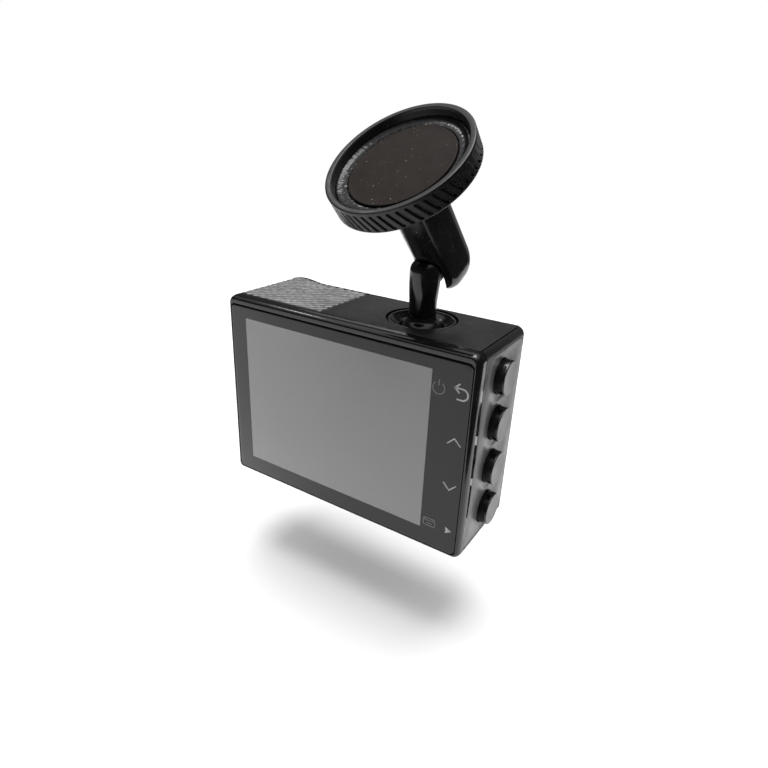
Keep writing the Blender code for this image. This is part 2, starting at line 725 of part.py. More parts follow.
def make_electronics():
    board_left = -HALF_WIDTH + BOARD_MARGIN
    width, height = BOARD_RIGHT - board_left, BOARD_TOP - BOARD_BOTTOM
    middle_x, middle_z = (BOARD_RIGHT + board_left) / 2, (BOARD_TOP + BOARD_BOTTOM) / 2
    board = box("main_board", facing_back(middle_x, board_front(), middle_z), width, height, 0, BOARD_THICK,
                "board_green", MM)
    for i, (x, z) in enumerate(board_post_places()):
        hole = cylinder(f"board_screw_hole_cut_{i + 1}", facing_back(x, board_front(), z), 0.85 * MM,
                        -MM, 2 * MM, None, 12)
        cut(board, hole)
        profile = [(0, -1.1 * MM), (1.3 * MM, -1.1 * MM), (1.3 * MM, -GAP), (0.6 * MM, -GAP),
                   (0.6 * MM, 4 * MM), (0, 4 * MM)]
        lathe(f"board_screw_{i + 1}", facing_back(x, board_front(), z), profile, "steel", 12)
    on_board = board_back() + GAP
    box("processor_shield", facing_back(2 * MM, on_board, 24 * MM), 16 * MM, 14 * MM, 0, 1.8 * MM, "steel", MM)
    box("microphone", facing_back(microphone_x(), on_board, 9 * MM), 4 * MM, 3 * MM, 0, 1.2 * MM, "brass")
    box("battery", facing_back(-1 * MM, on_board + 2.6 * MM, 19 * MM), 20 * MM, 24 * MM, 0, 4.5 * MM,
        "cell_blue", 1.5 * MM, 4)
    x, z = speaker_place()
    lathe("speaker", facing_back(x, CAVITY_BACK - GAP - SPEAKER_HIGH, z), [
        (0, 0), (4 * MM, 0), (4 * MM, 1.2 * MM), (SPEAKER_RADIUS, 1.8 * MM), (SPEAKER_RADIUS, SPEAKER_HIGH),
        (SPEAKER_RADIUS - MM, SPEAKER_HIGH), (SPEAKER_RADIUS - MM, 2.4 * MM), (0, 2 * MM)], "satin_black", 32)
    box("antenna", facing_up(-20 * MM, 3 * MM, 0), 12 * MM, 12 * MM, CAVITY_TOP - GAP - 3 * MM,
        CAVITY_TOP - GAP, "white_ceramic", MM)


def make_usb_socket():
    """Metal shell round a tongue, open towards the left side."""
    place = port_place(USB_Z, usb_middle())
    mouth = -COVER - GAP - 0.2 * MM
    shell = box("usb_socket", place, USB_HIGH - 0.1 * MM, USB_WIDE, mouth - USB_LONG, mouth, "steel",
                USB_HIGH / 2 - 0.1 * MM, 5)
    inside = box("usb_inside_cut", place, USB_HIGH - 0.1 * MM - 2 * USB_WALL, USB_WIDE - 2 * USB_WALL,
                 mouth - USB_LONG + MM, MM, None, USB_HIGH / 2 - 0.15 * MM - USB_WALL, 5)
    tongue = box("usb_tongue_join", place, 0.7 * MM, 6.6 * MM, mouth - USB_LONG + 0.5 * MM, mouth - 0.9 * MM,
                 None, 0.1 * MM, 1)
    cut(shell, inside)
    return join(shell, tongue)


def make_card_parts():
    """Memory card and its socket, open towards the left side."""
    place = port_place(CARD_Z, card_middle())
    tip = -0.5 * MM
    card = box("memory_card", place, CARD_THICK, CARD_WIDE, tip - CARD_LONG, tip, "matt_black", 0.2 * MM, 1)
    mouth = CAVITY_LEFT + HALF_WIDTH + GAP
    socket = box("card_socket", place, CARD_THICK + 1.8 * MM, CARD_WIDE + 3 * MM, -mouth - CARD_LONG + MM,
                 -mouth, "steel", 0.3 * MM, 1)
    inside = box("card_inside_cut", place, CARD_THICK + 2 * SEAM, CARD_WIDE + 2 * SEAM,
                 tip - CARD_LONG - GAP, MM, None, 0.3 * MM, 1)
    cut(socket, inside)
    hang_on("memory_card_slide", port_place(CARD_Z, card_middle()), card)


def make_buttons():
    heights = button_heights()
    back = CAVITY_RIGHT - GAP - BUTTON_FLANGE
    nib_top = back - BUTTON_TRAVEL - 0.15 * MM
    switch_base = nib_top - SWITCH_NIB - SWITCH_HIGH
    board_low, board_high = BUTTON_LOWEST - 2.3 * MM, heights[-1] + 1.9 * MM
    box("key_board", facing_right(switch_base - GAP, BUTTON_Y, (board_low + board_high) / 2), 11 * MM,
        board_high - board_low, -BOARD_THICK, 0, "board_green", 0.5 * MM)
    for i, z in enumerate(heights):
        switch = box(f"switch_{i + 1}", facing_right(switch_base, BUTTON_Y, z), SWITCH_SIDE, SWITCH_SIDE, 0,
                     SWITCH_HIGH, "steel")
        nib = cylinder(f"switch_nib_join_{i + 1}", facing_right(switch_base, BUTTON_Y, z),
                       SWITCH_NIB_RADIUS, SWITCH_HIGH / 2, SWITCH_HIGH + SWITCH_NIB, None, 16)
        join(switch, nib)
        at = facing_right(HALF_WIDTH, BUTTON_Y, z)
        low = back - HALF_WIDTH
        edge = 0.45 * MM
        profile = [(0, low), (BUTTON_RADIUS, low), (BUTTON_RADIUS, BUTTON_PROUD - edge),
                   (BUTTON_RADIUS - 0.3 * edge, BUTTON_PROUD - 0.3 * edge),
                   (BUTTON_RADIUS - edge, BUTTON_PROUD), (0, BUTTON_PROUD - 0.15 * MM)]
        button = lathe(f"button_{i + 1}", at, profile, "satin_grey", 32)
        tabs = box(f"button_tabs_join_{i + 1}", at, 2 * (BUTTON_RADIUS + BUTTON_TAB), 1.3 * BUTTON_RADIUS,
                   low, low + BUTTON_FLANGE, None)
        join(button, tabs)
        hang_on(f"button_slide_{i + 1}", at, button)


# ---------------------------------------------------------------- ball joint


def stem_place(height):
    return facing_up(STEM_X, STEM_Y, height)


def sphere_points(radius, start, end, steps):
    """(radius, height) points of a sphere between two latitudes, in degrees."""
    return [(x, z) for x, z in arc((0, 0), radius, start, end, steps)]


def make_socket():
    place = stem_place(BALL_Z)
    cup_outer = SOCKET_RADIUS - GAP
    cup_inner = cup_outer - CUP_WALL
    floor = CUP_FLOOR
    cup_top = CAVITY_TOP - BALL_Z - GAP
    cup = lathe("socket_cup", place, [
        (0, floor), (cup_outer, floor), (cup_outer, cup_top - 1.2 * MM), (cup_outer + 2.4 * MM, cup_top - 1.2 * MM),
        (cup_outer + 2.4 * MM, cup_top), (cup_inner, cup_top), (cup_inner, floor + CUP_WALL),
        (0, floor + CUP_WALL)], "satin_black", 40)
    flat = CAVITY_BACK - GAP - STEM_Y
    cut(cup, box("cup_flat_cut", stem_place(BALL_Z) @ Matrix.Translation((0, flat + 5 * MM, 0)), 30 * MM,
                 10 * MM, -MM, 5 * MM, None))
    ring_top = CASE_HEIGHT - BALL_Z - 0.25 * MM
    ring_low = ring_top - RING_HIGH
    throat = math.sqrt(BALL_RADIUS**2 - ring_low**2) + GAP + 0.15 * MM
    ring = lathe("socket_ring", place, [
        (throat, ring_low), (cup_outer, ring_low), (cup_outer, ring_top - 0.3 * MM),
        (cup_outer - 0.3 * MM, ring_top), (cup_outer - 0.9 * MM, ring_top),
        (cup_outer - 1.2 * MM, ring_top - 0.5 * MM), (throat + 0.9 * MM, ring_low + 0.9 * MM),
        (throat, ring_low + 0.5 * MM)], "gloss_black", 40)
    liner_outer = cup_inner - GAP
    liner_top = min(ring_low, cup_top) - GAP
    seat = BALL_RADIUS + GAP
    top_angle = math.degrees(math.asin(liner_top / seat))
    low_angle = -28
    profile = [(liner_outer, seat * math.sin(math.radians(low_angle))), (liner_outer, liner_top)]
    profile += sphere_points(seat, top_angle, low_angle, 5)
    liner = lathe("socket_liner", place, profile, "matt_black", 40)
    split = box("liner_split_cut", stem_place(BALL_Z) @ Matrix.Translation((0, liner_outer, 0)),
                MM, 2.4 * (liner_outer - seat) + 2 * MM, -BALL_RADIUS, BALL_RADIUS, None, 0.1 * MM, 1)
    cut(liner, split)
    pad_top = seat * math.sin(math.radians(low_angle)) - GAP
    pad_low = floor + CUP_WALL + GAP
    bottom_angle = math.degrees(math.asin(pad_top / seat))
    profile = [(0, pad_low), (liner_outer, pad_low), (liner_outer, pad_top)]
    points = sphere_points(seat, bottom_angle, -90, 5)
    profile += points[:-1] + [(0, -seat)]
    lathe("pressure_pad", place, profile, "white_plastic", 40)
    hang_on("stem_swivel", place, liner)
    return cup, ring


def make_stem(arm_place):
    """Ball foot, post and rounded knee turned as one, with a flat tongue that runs back into the arm."""
    knee = KNEE_HEIGHT - BALL_Z
    profile = [(0, -BALL_RADIUS)] + sphere_points(BALL_RADIUS, -90, 44, 11)[1:]
    ball_edge = profile[-1]
    profile += [(POST_RADIUS + 0.25 * MM, ball_edge[1] + 0.55 * MM), (POST_RADIUS, ball_edge[1] + 1.5 * MM)]
    profile.append((POST_RADIUS, knee - 2.2 * KNEE_RADIUS))
    profile += [(KNEE_RADIUS, knee - 0.6 * KNEE_RADIUS), (KNEE_RADIUS, knee)]
    dome = [(x, knee + z) for x, z in sphere_points(KNEE_RADIUS, 0, 90, 5)][1:-1]
    profile += dome + [(0, knee + KNEE_RADIUS)]
    stem = lathe("ball_stem", stem_place(BALL_Z), profile, "gloss_black", 28)
    start = (-ARM_BEHIND, PIVOT_BELOW_KNEE)
    link = Vector(start)
    side = Vector((-link.y, link.x)).normalized() * TONGUE_HALF_HIGH
    outline = [tuple(link - side), tuple(link + side)]
    angle = math.degrees(math.atan2(link.y, link.x))
    opening = math.degrees(math.asin(TONGUE_HALF_HIGH / TONGUE_RADIUS))
    outline += arc((0, 0), TONGUE_RADIUS, angle + opening, angle + 360 - opening, 14)
    across = arm_place @ axes_matrix((0, 0, 0), (0, 1, 0), (0, 0, 1), (1, 0, 0))
    tongue = prism("tongue_join", across, outline, -TONGUE_HALF, TONGUE_HALF, None)
    eye = cylinder("tongue_eye_cut", across, PIVOT_RADIUS + HOLE_GAP, -5 * MM, 5 * MM, None, 20)
    join(stem, tongue)
    cut(stem, eye)
    hang_on("stem_lean", stem_place(BALL_Z), stem)
    return stem


# ---------------------------------------------------------------- arm


def head_directions():
    """The pivot's axis, the arm's deep direction (away from the screen side) and its long direction."""
    across = Vector((math.cos(ARM_YAW), math.sin(ARM_YAW), 0))
    away = Vector((-across.y, across.x, 0))
    along = -math.sin(ARM_LEAN) * away + math.cos(ARM_LEAN) * Vector((0, 0, 1))
    return across, along.cross(across), along


def arm_frame():
    """The pivot, with local X along its axis, local Y deep and local Z along the arm."""
    across, deep, along = head_directions()
    knee = Vector((STEM_X, STEM_Y, KNEE_HEIGHT))
    pivot = knee + deep * ARM_BEHIND - along * PIVOT_BELOW_KNEE
    return axes_matrix(pivot, across, deep, along)


def make_arm(place):
    top = HEAD_REACH - RING_DEPTH - GAP
    rings = []
    steps = 5
    for i in range(1, steps + 1):
        turn = math.pi / 2 * i / steps
        round_off = 1 - math.sin(turn)
        rings.append((-ARM_HALF_DEPTH * math.cos(turn), ARM_HALF_WIDTH * (1 - 0.9 * round_off**1.4),
                      ARM_HALF_DEPTH * (1 - 0.94 * round_off)))
    rings.append((top, ARM_HALF_WIDTH + ARM_SPREAD, ARM_HALF_DEPTH - 0.4 * MM))
    loops = []
    for height, half_width, half_depth in rings:
        outline = rounded_rect(2 * half_width, 2 * half_depth, min(half_width, half_depth) * ARM_ROUNDNESS, 6)
        loops.append([(x, y, height) for x, y in outline])
    arm = loft("arm_block", place, loops, "gloss_black")
    across = place @ axes_matrix((0, 0, 0), (0, 1, 0), (0, 0, 1), (1, 0, 0))
    cut(arm, slot_cutter(across), knee_path_cutter(across), post_cutter(across))
    knee_clear = KNEE_RADIUS + MOVE_GAP
    dome = sphere_points(knee_clear, -90, 90, 12)[1:-1]
    cut(arm, lathe("arm_knee_ball_cut", stem_place(KNEE_HEIGHT), [(0, -knee_clear)] + dome + [(0, knee_clear)],
                   None, 24))
    cut(arm, cylinder("arm_post_cut", stem_place(KNEE_HEIGHT), knee_clear, -12 * MM, 0, None, 24))
    bolt = cylinder("arm_bolt_cut", across, PIVOT_RADIUS + HOLE_GAP, -9 * MM, 0.62 * ARM_HALF_WIDTH + MM, None, 20)
    seat = cylinder("arm_bolt_head_cut", across, PIVOT_HEAD_RADIUS + HOLE_GAP,
                    -ARM_HALF_WIDTH - MM, -ARM_HALF_WIDTH + PIVOT_HEAD_LONG + 0.2 * MM, None, 24)
    sleeve_hole = cylinder("arm_sleeve_cut", place, SLEEVE_RADIUS + GAP, top - SLEEVE_LONG - GAP, top + MM, None, 24)
    cut(arm, bolt, seat, sleeve_hole)
    return arm


def slot_cutter(across):
    """The slot for the stem's tongue, open through the heel of the arm."""
    clear = TONGUE_RADIUS + MOVE_GAP
    high = TONGUE_HALF_HIGH + MOVE_GAP
    link = Vector((-ARM_BEHIND, PIVOT_BELOW_KNEE)).normalized()
    side = Vector((link.y, -link.x)) * high
    far = link * 14 * MM
    angle = math.degrees(math.atan2(link.y, link.x)) - math.degrees(math.asin(high / clear))
    outline = [tuple(far + side), (far.x, -24 * MM), (clear, -20 * MM)]
    outline += arc((0, 0), clear, 0, angle, 8)
    return prism("arm_slot_cut", across, outline, -SLOT_HALF, SLOT_HALF, None)


def post_cutter(across):
    """The room in front of the post when the arm is tilted all the way back."""
    start = math.atan2(PIVOT_BELOW_KNEE, -ARM_BEHIND) + ARM_TILT_RANGE
    reach = math.hypot(ARM_BEHIND, PIVOT_BELOW_KNEE)
    down = math.radians(270) - ARM_LEAN + ARM_TILT_RANGE
    origin = (reach * math.cos(start), reach * math.sin(start), 0)
    z_axis = (math.cos(down), math.sin(down), 0)
    back = (-z_axis[1], z_axis[0], 0)
    place = across @ axes_matrix(origin, (0, 0, -1), back, z_axis)
    half = KNEE_RADIUS + MOVE_GAP
    outline = rounded_box(-half, -20 * MM, half, half, (0.2 * MM, 0.2 * MM, 0.98 * half, 0.98 * half), 5)
    return prism("arm_post_path_cut", place, outline, -2 * MM, 16 * MM, None)


def knee_path_cutter(across):
    """The room that the stem's knee sweeps as the arm tilts: a bent round bar about the pivot."""
    reach = math.hypot(ARM_BEHIND, PIVOT_BELOW_KNEE)
    start = math.atan2(PIVOT_BELOW_KNEE, -ARM_BEHIND)
    radius = KNEE_RADIUS + MOVE_GAP
    loops = []
    steps = 8
    for i in range(steps + 1):
        turn = start + ARM_TILT_RANGE * i / steps
        ring = []
        for j in range(20):
            spoke = math.tau * j / 20
            out = reach + radius * math.cos(spoke)
            ring.append((out * math.cos(turn), out * math.sin(turn), radius * math.sin(spoke)))
        loops.append(ring)
    return loft("knee_path_cut", across, loops, None)


def make_pivot(place):
    across = place @ axes_matrix((0, 0, 0), (0, 1, 0), (0, 0, 1), (1, 0, 0))
    head_top = -ARM_HALF_WIDTH + 0.1 * MM
    head_low = head_top + PIVOT_HEAD_LONG
    tip = 0.62 * ARM_HALF_WIDTH + 0.7 * MM
    socket = PIVOT_HEAD_RADIUS * 0.45
    screw = lathe("pivot_screw", across, [
        (0, head_top + 0.7 * MM), (socket, head_top + 0.7 * MM), (socket, head_top),
        (PIVOT_HEAD_RADIUS, head_top), (PIVOT_HEAD_RADIUS, head_low), (PIVOT_RADIUS, head_low),
        (PIVOT_RADIUS, tip), (0, tip)], "steel", 20)
    washers = []
    middle = (TONGUE_HALF + SLOT_HALF) / 2
    for name, centre in (("pivot_washer_left", -middle), ("pivot_washer_right", middle)):
        low, high = centre - WASHER_THICK / 2, centre + WASHER_THICK / 2
        hole = PIVOT_RADIUS + 0.2 * MM
        washers.append(lathe(name, across, [
            (hole, low), (WASHER_RADIUS, low), (WASHER_RADIUS, high), (hole, high)], "brass", 24))
    return screw, washers


# ---------------------------------------------------------------- suction head


def head_frame(place):
    """Centre of the knurled ring's front rim, with local Z pointing out of the head."""
    return place @ Matrix.Translation((0, 0, HEAD_REACH))


def ribbed_outline(turned, depth):
    points = []
    for i in range(RING_RIBS):
        for share, radius in ((0.0, RING_RADIUS), (0.42, RING_RADIUS), (0.54, RING_RADIUS - depth),
                              (0.88, RING_RADIUS - depth)):
            turn = math.tau * (i + share) / RING_RIBS + turned
            points.append((radius * math.cos(turn), radius * math.sin(turn)))
    return points


def make_ring(head):
    """Turning ring with slanted ribs between two smooth bands, and a lip inside its back edge."""
    layers = [(-RING_DEPTH, 0.0, 0.0), (-RING_DEPTH + RING_BACK_BAND, 0.0, 0.0)]
    rib_low, rib_high = -RING_DEPTH + RING_BACK_BAND, -RING_FRONT_BAND
    for i in range(4):
        share = i / 3
        layers.append((rib_low + (rib_high - rib_low) * share, RIB_DEPTH, RING_TWIST * share))
    layers += [(rib_high, 0.0, RING_TWIST), (0, 0.0, RING_TWIST)]
    layers[2] = (rib_low + 0.05 * MM, RIB_DEPTH, 0.0)
    layers[5] = (rib_high - 0.05 * MM, RIB_DEPTH, RING_TWIST)
    loops = [[(x, y, z) for x, y in ribbed_outline(turned, depth)] for z, depth, turned in layers]
    ring = loft("knurled_ring", head, loops, "satin_black")
    bore = lathe("ring_bore_cut", head, [
        (0, -RING_DEPTH - MM), (DISC_HUB_RADIUS + GAP, -RING_DEPTH - MM),
        (DISC_HUB_RADIUS + GAP, -RING_DEPTH + RING_LIP), (RING_INNER, -RING_DEPTH + RING_LIP),
        (RING_INNER, -0.6 * MM), (RING_INNER + 0.5 * MM, MM), (0, MM)], None, 56)
    cut(ring, bore)
    hang_on("ring_twist", head, ring)
    return ring


def make_head(head):
    """Carrier disc with its sleeve, the soft dish, and the pad on its sliding core."""
    lip_top = -RING_DEPTH + RING_LIP + GAP
    flange_top = lip_top + MM
    core_top = -PAD_RECESS - PAD_THICK - 0.02 * MM - 0.2 * MM
    core_low = core_top - CORE_THICK
    well = core_low - 0.25 * MM
    rod_hole = CORE_ROD_RADIUS + HOLE_GAP
    sleeve_low = -RING_DEPTH - SLEEVE_LONG
    disc = lathe("base_disc", head, [
        (rod_hole, sleeve_low), (SLEEVE_RADIUS, sleeve_low), (SLEEVE_RADIUS, -RING_DEPTH),
        (DISC_HUB_RADIUS, -RING_DEPTH), (DISC_HUB_RADIUS, lip_top), (RING_INNER - GAP, lip_top),
        (RING_INNER - GAP, flange_top), (PAD_RADIUS + GAP, flange_top), (PAD_RADIUS + GAP, well),
        (rod_hole, well)], "satin_black", 48)
    dish_low = flange_top + GAP
    dish = lathe("suction_dish", head, [
        (PAD_RADIUS + 0.35 * MM, dish_low), (RING_INNER - 0.35 * MM, dish_low),
        (RING_INNER - 0.35 * MM, dish_low + 1.1 * MM), (RING_INNER - 0.9 * MM, dish_low + 1.1 * MM),
        (PAD_RADIUS + 0.9 * MM, dish_low + 0.5 * MM), (PAD_RADIUS + 0.35 * MM, dish_low + 0.5 * MM)], "rubber", 48)
    pad = lathe("gel_pad", head, [
        (0, -PAD_RECESS - PAD_THICK), (PAD_RADIUS, -PAD_RECESS - PAD_THICK), (PAD_RADIUS, -PAD_RECESS - 0.25 * MM),
        (PAD_RADIUS - 0.25 * MM, -PAD_RECESS), (0, -PAD_RECESS)], "gel_brown", 48)
    rod_low = sleeve_low + 0.3 * MM
    core = lathe("suction_core", head, [
        (0, rod_low), (CORE_ROD_RADIUS, rod_low), (CORE_ROD_RADIUS, core_low), (PAD_RADIUS - 0.4 * MM, core_low),
        (PAD_RADIUS - 0.4 * MM, core_top), (0, core_top)], "matt_black", 48)
    hang_on("core_slide", head, pad, core)
    return disc, dish


def main():
    clear_scene()
    make_front_frame()
    make_rear_shell()
    make_top_plate()
    make_pod_cover()
    make_side_panel()
    make_screen()
    make_case_screws()
    make_lens()
    make_electronics()
    make_usb_socket()
    make_card_parts()
    make_buttons()
    make_socket()
    arm_place = arm_frame()
    make_stem(arm_place)
    arm = make_arm(arm_place)
    screw, washers = make_pivot(arm_place)
    head = head_frame(arm_place)
    disc, dish = make_head(head)
    make_ring(head)
    hang_on("arm_tilt", arm_place, arm, screw, disc, dish, *washers)


main()
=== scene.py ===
"""Looks of the dash camera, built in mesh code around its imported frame. Metres, in the frame's own axes."""

import math

import bmesh
import bpy
from mathutils import Matrix, Vector
from mathutils import noise as perlin


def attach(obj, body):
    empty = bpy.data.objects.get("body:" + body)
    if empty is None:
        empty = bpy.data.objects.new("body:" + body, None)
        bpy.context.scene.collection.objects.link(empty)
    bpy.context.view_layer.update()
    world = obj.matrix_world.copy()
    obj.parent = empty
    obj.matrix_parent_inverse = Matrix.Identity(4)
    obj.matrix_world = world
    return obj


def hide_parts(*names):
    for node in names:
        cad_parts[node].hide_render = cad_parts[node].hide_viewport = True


MM = 0.001
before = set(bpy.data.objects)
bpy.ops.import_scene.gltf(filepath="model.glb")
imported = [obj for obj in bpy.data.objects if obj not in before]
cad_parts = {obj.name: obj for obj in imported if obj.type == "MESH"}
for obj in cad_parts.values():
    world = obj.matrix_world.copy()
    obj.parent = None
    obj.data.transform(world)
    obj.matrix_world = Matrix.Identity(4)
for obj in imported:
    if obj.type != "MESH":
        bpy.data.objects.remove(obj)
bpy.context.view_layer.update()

# Sizes shared by several pieces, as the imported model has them
HALF_WIDTH, FRONT, BACK, HEIGHT = 40 * MM, -14.5 * MM, 14.5 * MM, 58 * MM
PARTING = -10.9 * MM
GAP = 0.3 * MM
COVER = 0.9 * MM
STEM_X, STEM_Y, BALL_Z, KNEE_Z = 15.2 * MM, 2.4 * MM, 53.2 * MM, 70.3 * MM
BUTTON_Y = 1.0 * MM
BUTTON_HEIGHTS = [(8.8 + 13.1 * i) * MM for i in range(4)]
BUTTON_RADIUS, BUTTON_HOLE = 4.6 * MM, 4.85 * MM
LENS_X, LENS_Z = -24 * MM, 34 * MM
BALL_RADIUS, SOCKET_RADIUS = 6 * MM, 9.7 * MM
KNEE_RADIUS, KNEE_CLEAR = 4.07 * MM, 4.42 * MM
COVER_RIGHT, COVER_BEND, COVER_REACH = -8.9 * MM, 2.4 * MM, 13.2 * MM
BACK_ROUND = 1.5 * MM
YAW, LEAN, TILT_RANGE = math.radians(-9.7), math.radians(38.9), math.radians(25)

# From the arm's pivot to the knee of the stem, in millimetres, and that line's direction and length
PIVOT_DEEP, PIVOT_BELOW = 7.5, 3.7
KNEE_ANGLE = math.atan2(PIVOT_BELOW, -PIVOT_DEEP)
KNEE_REACH = math.hypot(PIVOT_DEEP, PIVOT_BELOW) * MM


# ---------------------------------------------------------------- places


def axes_matrix(origin, x_axis, y_axis, z_axis):
    """The place with its origin there and its own axes along those directions."""
    return Matrix.Translation(origin) @ Matrix((x_axis, y_axis, z_axis)).transposed().to_4x4()


def facing_up(x, y, z):
    return Matrix.Translation((x, y, z))


def facing_front(x, y, z):
    return axes_matrix((x, y, z), (1, 0, 0), (0, 0, 1), (0, -1, 0))


def facing_back(x, y, z):
    return axes_matrix((x, y, z), (-1, 0, 0), (0, 0, 1), (0, 1, 0))


def facing_right(x, y, z):
    return axes_matrix((x, y, z), (0, 1, 0), (0, 0, 1), (1, 0, 0))


def facing_left(x, y, z):
    return axes_matrix((x, y, z), (0, 1, 0), (0, 0, -1), (-1, 0, 0))


# The arm as it stands at rest: across it, away from the viewer, along it and through its depth
ACROSS = Vector((math.cos(YAW), math.sin(YAW), 0))
AWAY = Vector((-ACROSS.y, ACROSS.x, 0))
ALONG = -math.sin(LEAN) * AWAY + math.cos(LEAN) * Vector((0, 0, 1))
DEEP = ALONG.cross(ACROSS)
PIVOT = Vector((STEM_X, STEM_Y, KNEE_Z)) + DEEP * PIVOT_DEEP * MM - ALONG * PIVOT_BELOW * MM
ARM = axes_matrix(PIVOT, ACROSS, DEEP, ALONG)
ARM_SIDE = ARM @ axes_matrix((0, 0, 0), (0, 1, 0), (0, 0, 1), (1, 0, 0))
HEAD = ARM @ Matrix.Translation((0, 0, 33.9 * MM))


# ---------------------------------------------------------------- materials


def linked(tree, socket, value):
    """Sets a socket to a plain value or links another node's output to it."""
    if isinstance(value, bpy.types.NodeSocket):
        tree.links.new(value, socket)
    else:
        socket.default_value = value


def add(tree, kind, inputs=None, **settings):
    node = tree.nodes.new(kind)
    for name, value in settings.items():
        setattr(node, name, value)
    for name, value in (inputs or {}).items():
        linked(tree, node.inputs[name], value)
    return node


def noise(tree, vector, scale, detail=4.0, roughness=0.55):
    node = add(tree, "ShaderNodeTexNoise", {"Vector": vector, "Scale": scale, "Detail": detail,
                                            "Roughness": roughness})
    return node.outputs["Fac"]


def remap(tree, value, low, high, to_low, to_high, smooth=False):
    node = add(tree, "ShaderNodeMapRange", {"Value": value, "From Min": low, "From Max": high,
                                            "To Min": to_low, "To Max": to_high})
    if smooth:
        node.interpolation_type = "SMOOTHSTEP"
    return node.outputs["Result"]


def maths(tree, operation, first, second=0.0):
    node = add(tree, "ShaderNodeMath", operation=operation)
    linked(tree, node.inputs[0], first)
    linked(tree, node.inputs[1], second)
    return node.outputs[0]


def mixed(tree, factor, first, second):
    node = add(tree, "ShaderNodeMix", data_type="RGBA")
    linked(tree, node.inputs[0], factor)
    linked(tree, node.inputs[6], first if isinstance(first, bpy.types.NodeSocket) else (*first, 1.0))
    linked(tree, node.inputs[7], second if isinstance(second, bpy.types.NodeSocket) else (*second, 1.0))
    return node.outputs[2]


def bump(tree, height, strength, distance, normal=None):
    node = add(tree, "ShaderNodeBump", {"Height": height, "Strength": strength, "Distance": distance})
    if normal is not None:
        tree.links.new(normal, node.inputs["Normal"])
    return node.outputs["Normal"]


def new_surface(name, roughness, metallic=0.0, specular=0.5, coat=0.0):
    made = bpy.data.materials.new(name)
    made.use_nodes = True
    tree = made.node_tree
    shader = tree.nodes["Principled BSDF"]
    shader.inputs["Metallic"].default_value = metallic
    shader.inputs["Roughness"].default_value = roughness
    shader.inputs["Specular IOR Level"].default_value = specular
    shader.inputs["Coat Weight"].default_value = coat
    shader.inputs["Coat Roughness"].default_value = 0.05
    place = add(tree, "ShaderNodeTexCoord").outputs["Object"]
    return made, tree, shader, place


DUST = (0.4, 0.39, 0.37)


def plastic(name, colour, roughness, vary=0.12, rough_vary=0.06, grain=0.0, grain_scale=9000, smudge=0.0,
            dust=0.0, specular=0.5, coat=0.0):
    """Moulded plastic: slow colour and gloss changes, a fine moulded grain, smudges and specks of dust."""
    made, tree, shader, place = new_surface(name, roughness, 0.0, specular, coat)
    slow = noise(tree, place, 160, 3)
    low = tuple(c * (1 - vary) for c in colour)
    high = tuple(c * (1 + vary) for c in colour)
    tint = mixed(tree, slow, low, high)
    rough = remap(tree, noise(tree, place, 420, 5), 0.3, 0.7, roughness - rough_vary, roughness + rough_vary)
    if smudge:
        wiped = remap(tree, noise(tree, place, 70, 6, 0.65), 0.48, 0.72, 0.0, smudge, True)
        rough = maths(tree, "ADD", rough, wiped)
    if dust:
        speck = remap(tree, noise(tree, place, 2300, 2, 0.5), 0.735, 0.77, 0.0, dust, True)
        tint = mixed(tree, speck, tint, DUST)
        rough = maths(tree, "ADD", rough, maths(tree, "MULTIPLY", speck, 0.5))
    linked(tree, shader.inputs["Base Color"], tint)
    linked(tree, shader.inputs["Roughness"], rough)
    ripple = bump(tree, noise(tree, place, 260, 2), 0.15, 0.00002)
    if grain:
        ripple = bump(tree, noise(tree, place, grain_scale, 2), grain, 0.00002, ripple)
    linked(tree, shader.inputs["Normal"], ripple)
    return made


def metal(name, colour, roughness, brushed):
    """Bright metal with fine lines from machining, drawn out along one axis."""
    made, tree, shader, place = new_surface(name, roughness, 1.0)
    stretched = add(tree, "ShaderNodeMapping", {"Vector": place, "Scale": brushed}).outputs["Vector"]
    lines = noise(tree, stretched, 5000, 3)
    low, high = tuple(c * 0.82 for c in colour), tuple(min(1, c * 1.1) for c in colour)
    linked(tree, shader.inputs["Base Color"], mixed(tree, noise(tree, place, 500, 4), low, high))
    linked(tree, shader.inputs["Roughness"], remap(tree, lines, 0.3, 0.7, roughness * 0.7, roughness * 1.4))
    linked(tree, shader.inputs["Normal"], bump(tree, lines, 0.25, 0.00001))
    return made


# ---------------------------------------------------------------- mesh helpers


def add_piece(name, shape, place, surface, body=None, slot=None, replaced=(), sharp=35):
    """Makes the object of a bmesh. Without a surface it is a cutter, which is used and thrown away."""
    bmesh.ops.recalc_face_normals(shape, faces=shape.faces)
    mesh = bpy.data.meshes.new(name)
    shape.to_mesh(mesh)
    shape.free()
    mesh.shade_smooth()
    mesh.set_sharp_from_angle(angle=math.radians(sharp))
    made = bpy.data.objects.new(name, mesh)
    bpy.context.scene.collection.objects.link(made)
    made.matrix_world = place
    if surface is not None:
        mesh.materials.append(surface)
    if body:
        settle(made, body, slot, *replaced)
    return made


def settle(piece, body, slot, *replaced):
    """Draws the piece in the frame's own axes and hands it to its body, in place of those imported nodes."""
    piece.data.transform(piece.matrix_world)
    piece.matrix_world = Matrix.Identity(4)
    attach(piece, body)
    if replaced:
        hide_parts(*replaced)


def loft_shape(loops, closed=False):
    """Faces through loops of as many points each, with both ends capped, or joined end to end."""
    shape = bmesh.new()
    rows = [[shape.verts.new(point) for point in loop] for loop in loops]
    following = rows[1:] + rows[:1] if closed else rows[1:]
    for low, high in zip(rows, following):
        for i, corner in enumerate(low):
            j = (i + 1) % len(low)
            shape.faces.new((corner, low[j], high[j], high[i]))
    if not closed:
        shape.faces.new(list(reversed(rows[0])))
        shape.faces.new(rows[-1])
    return shape


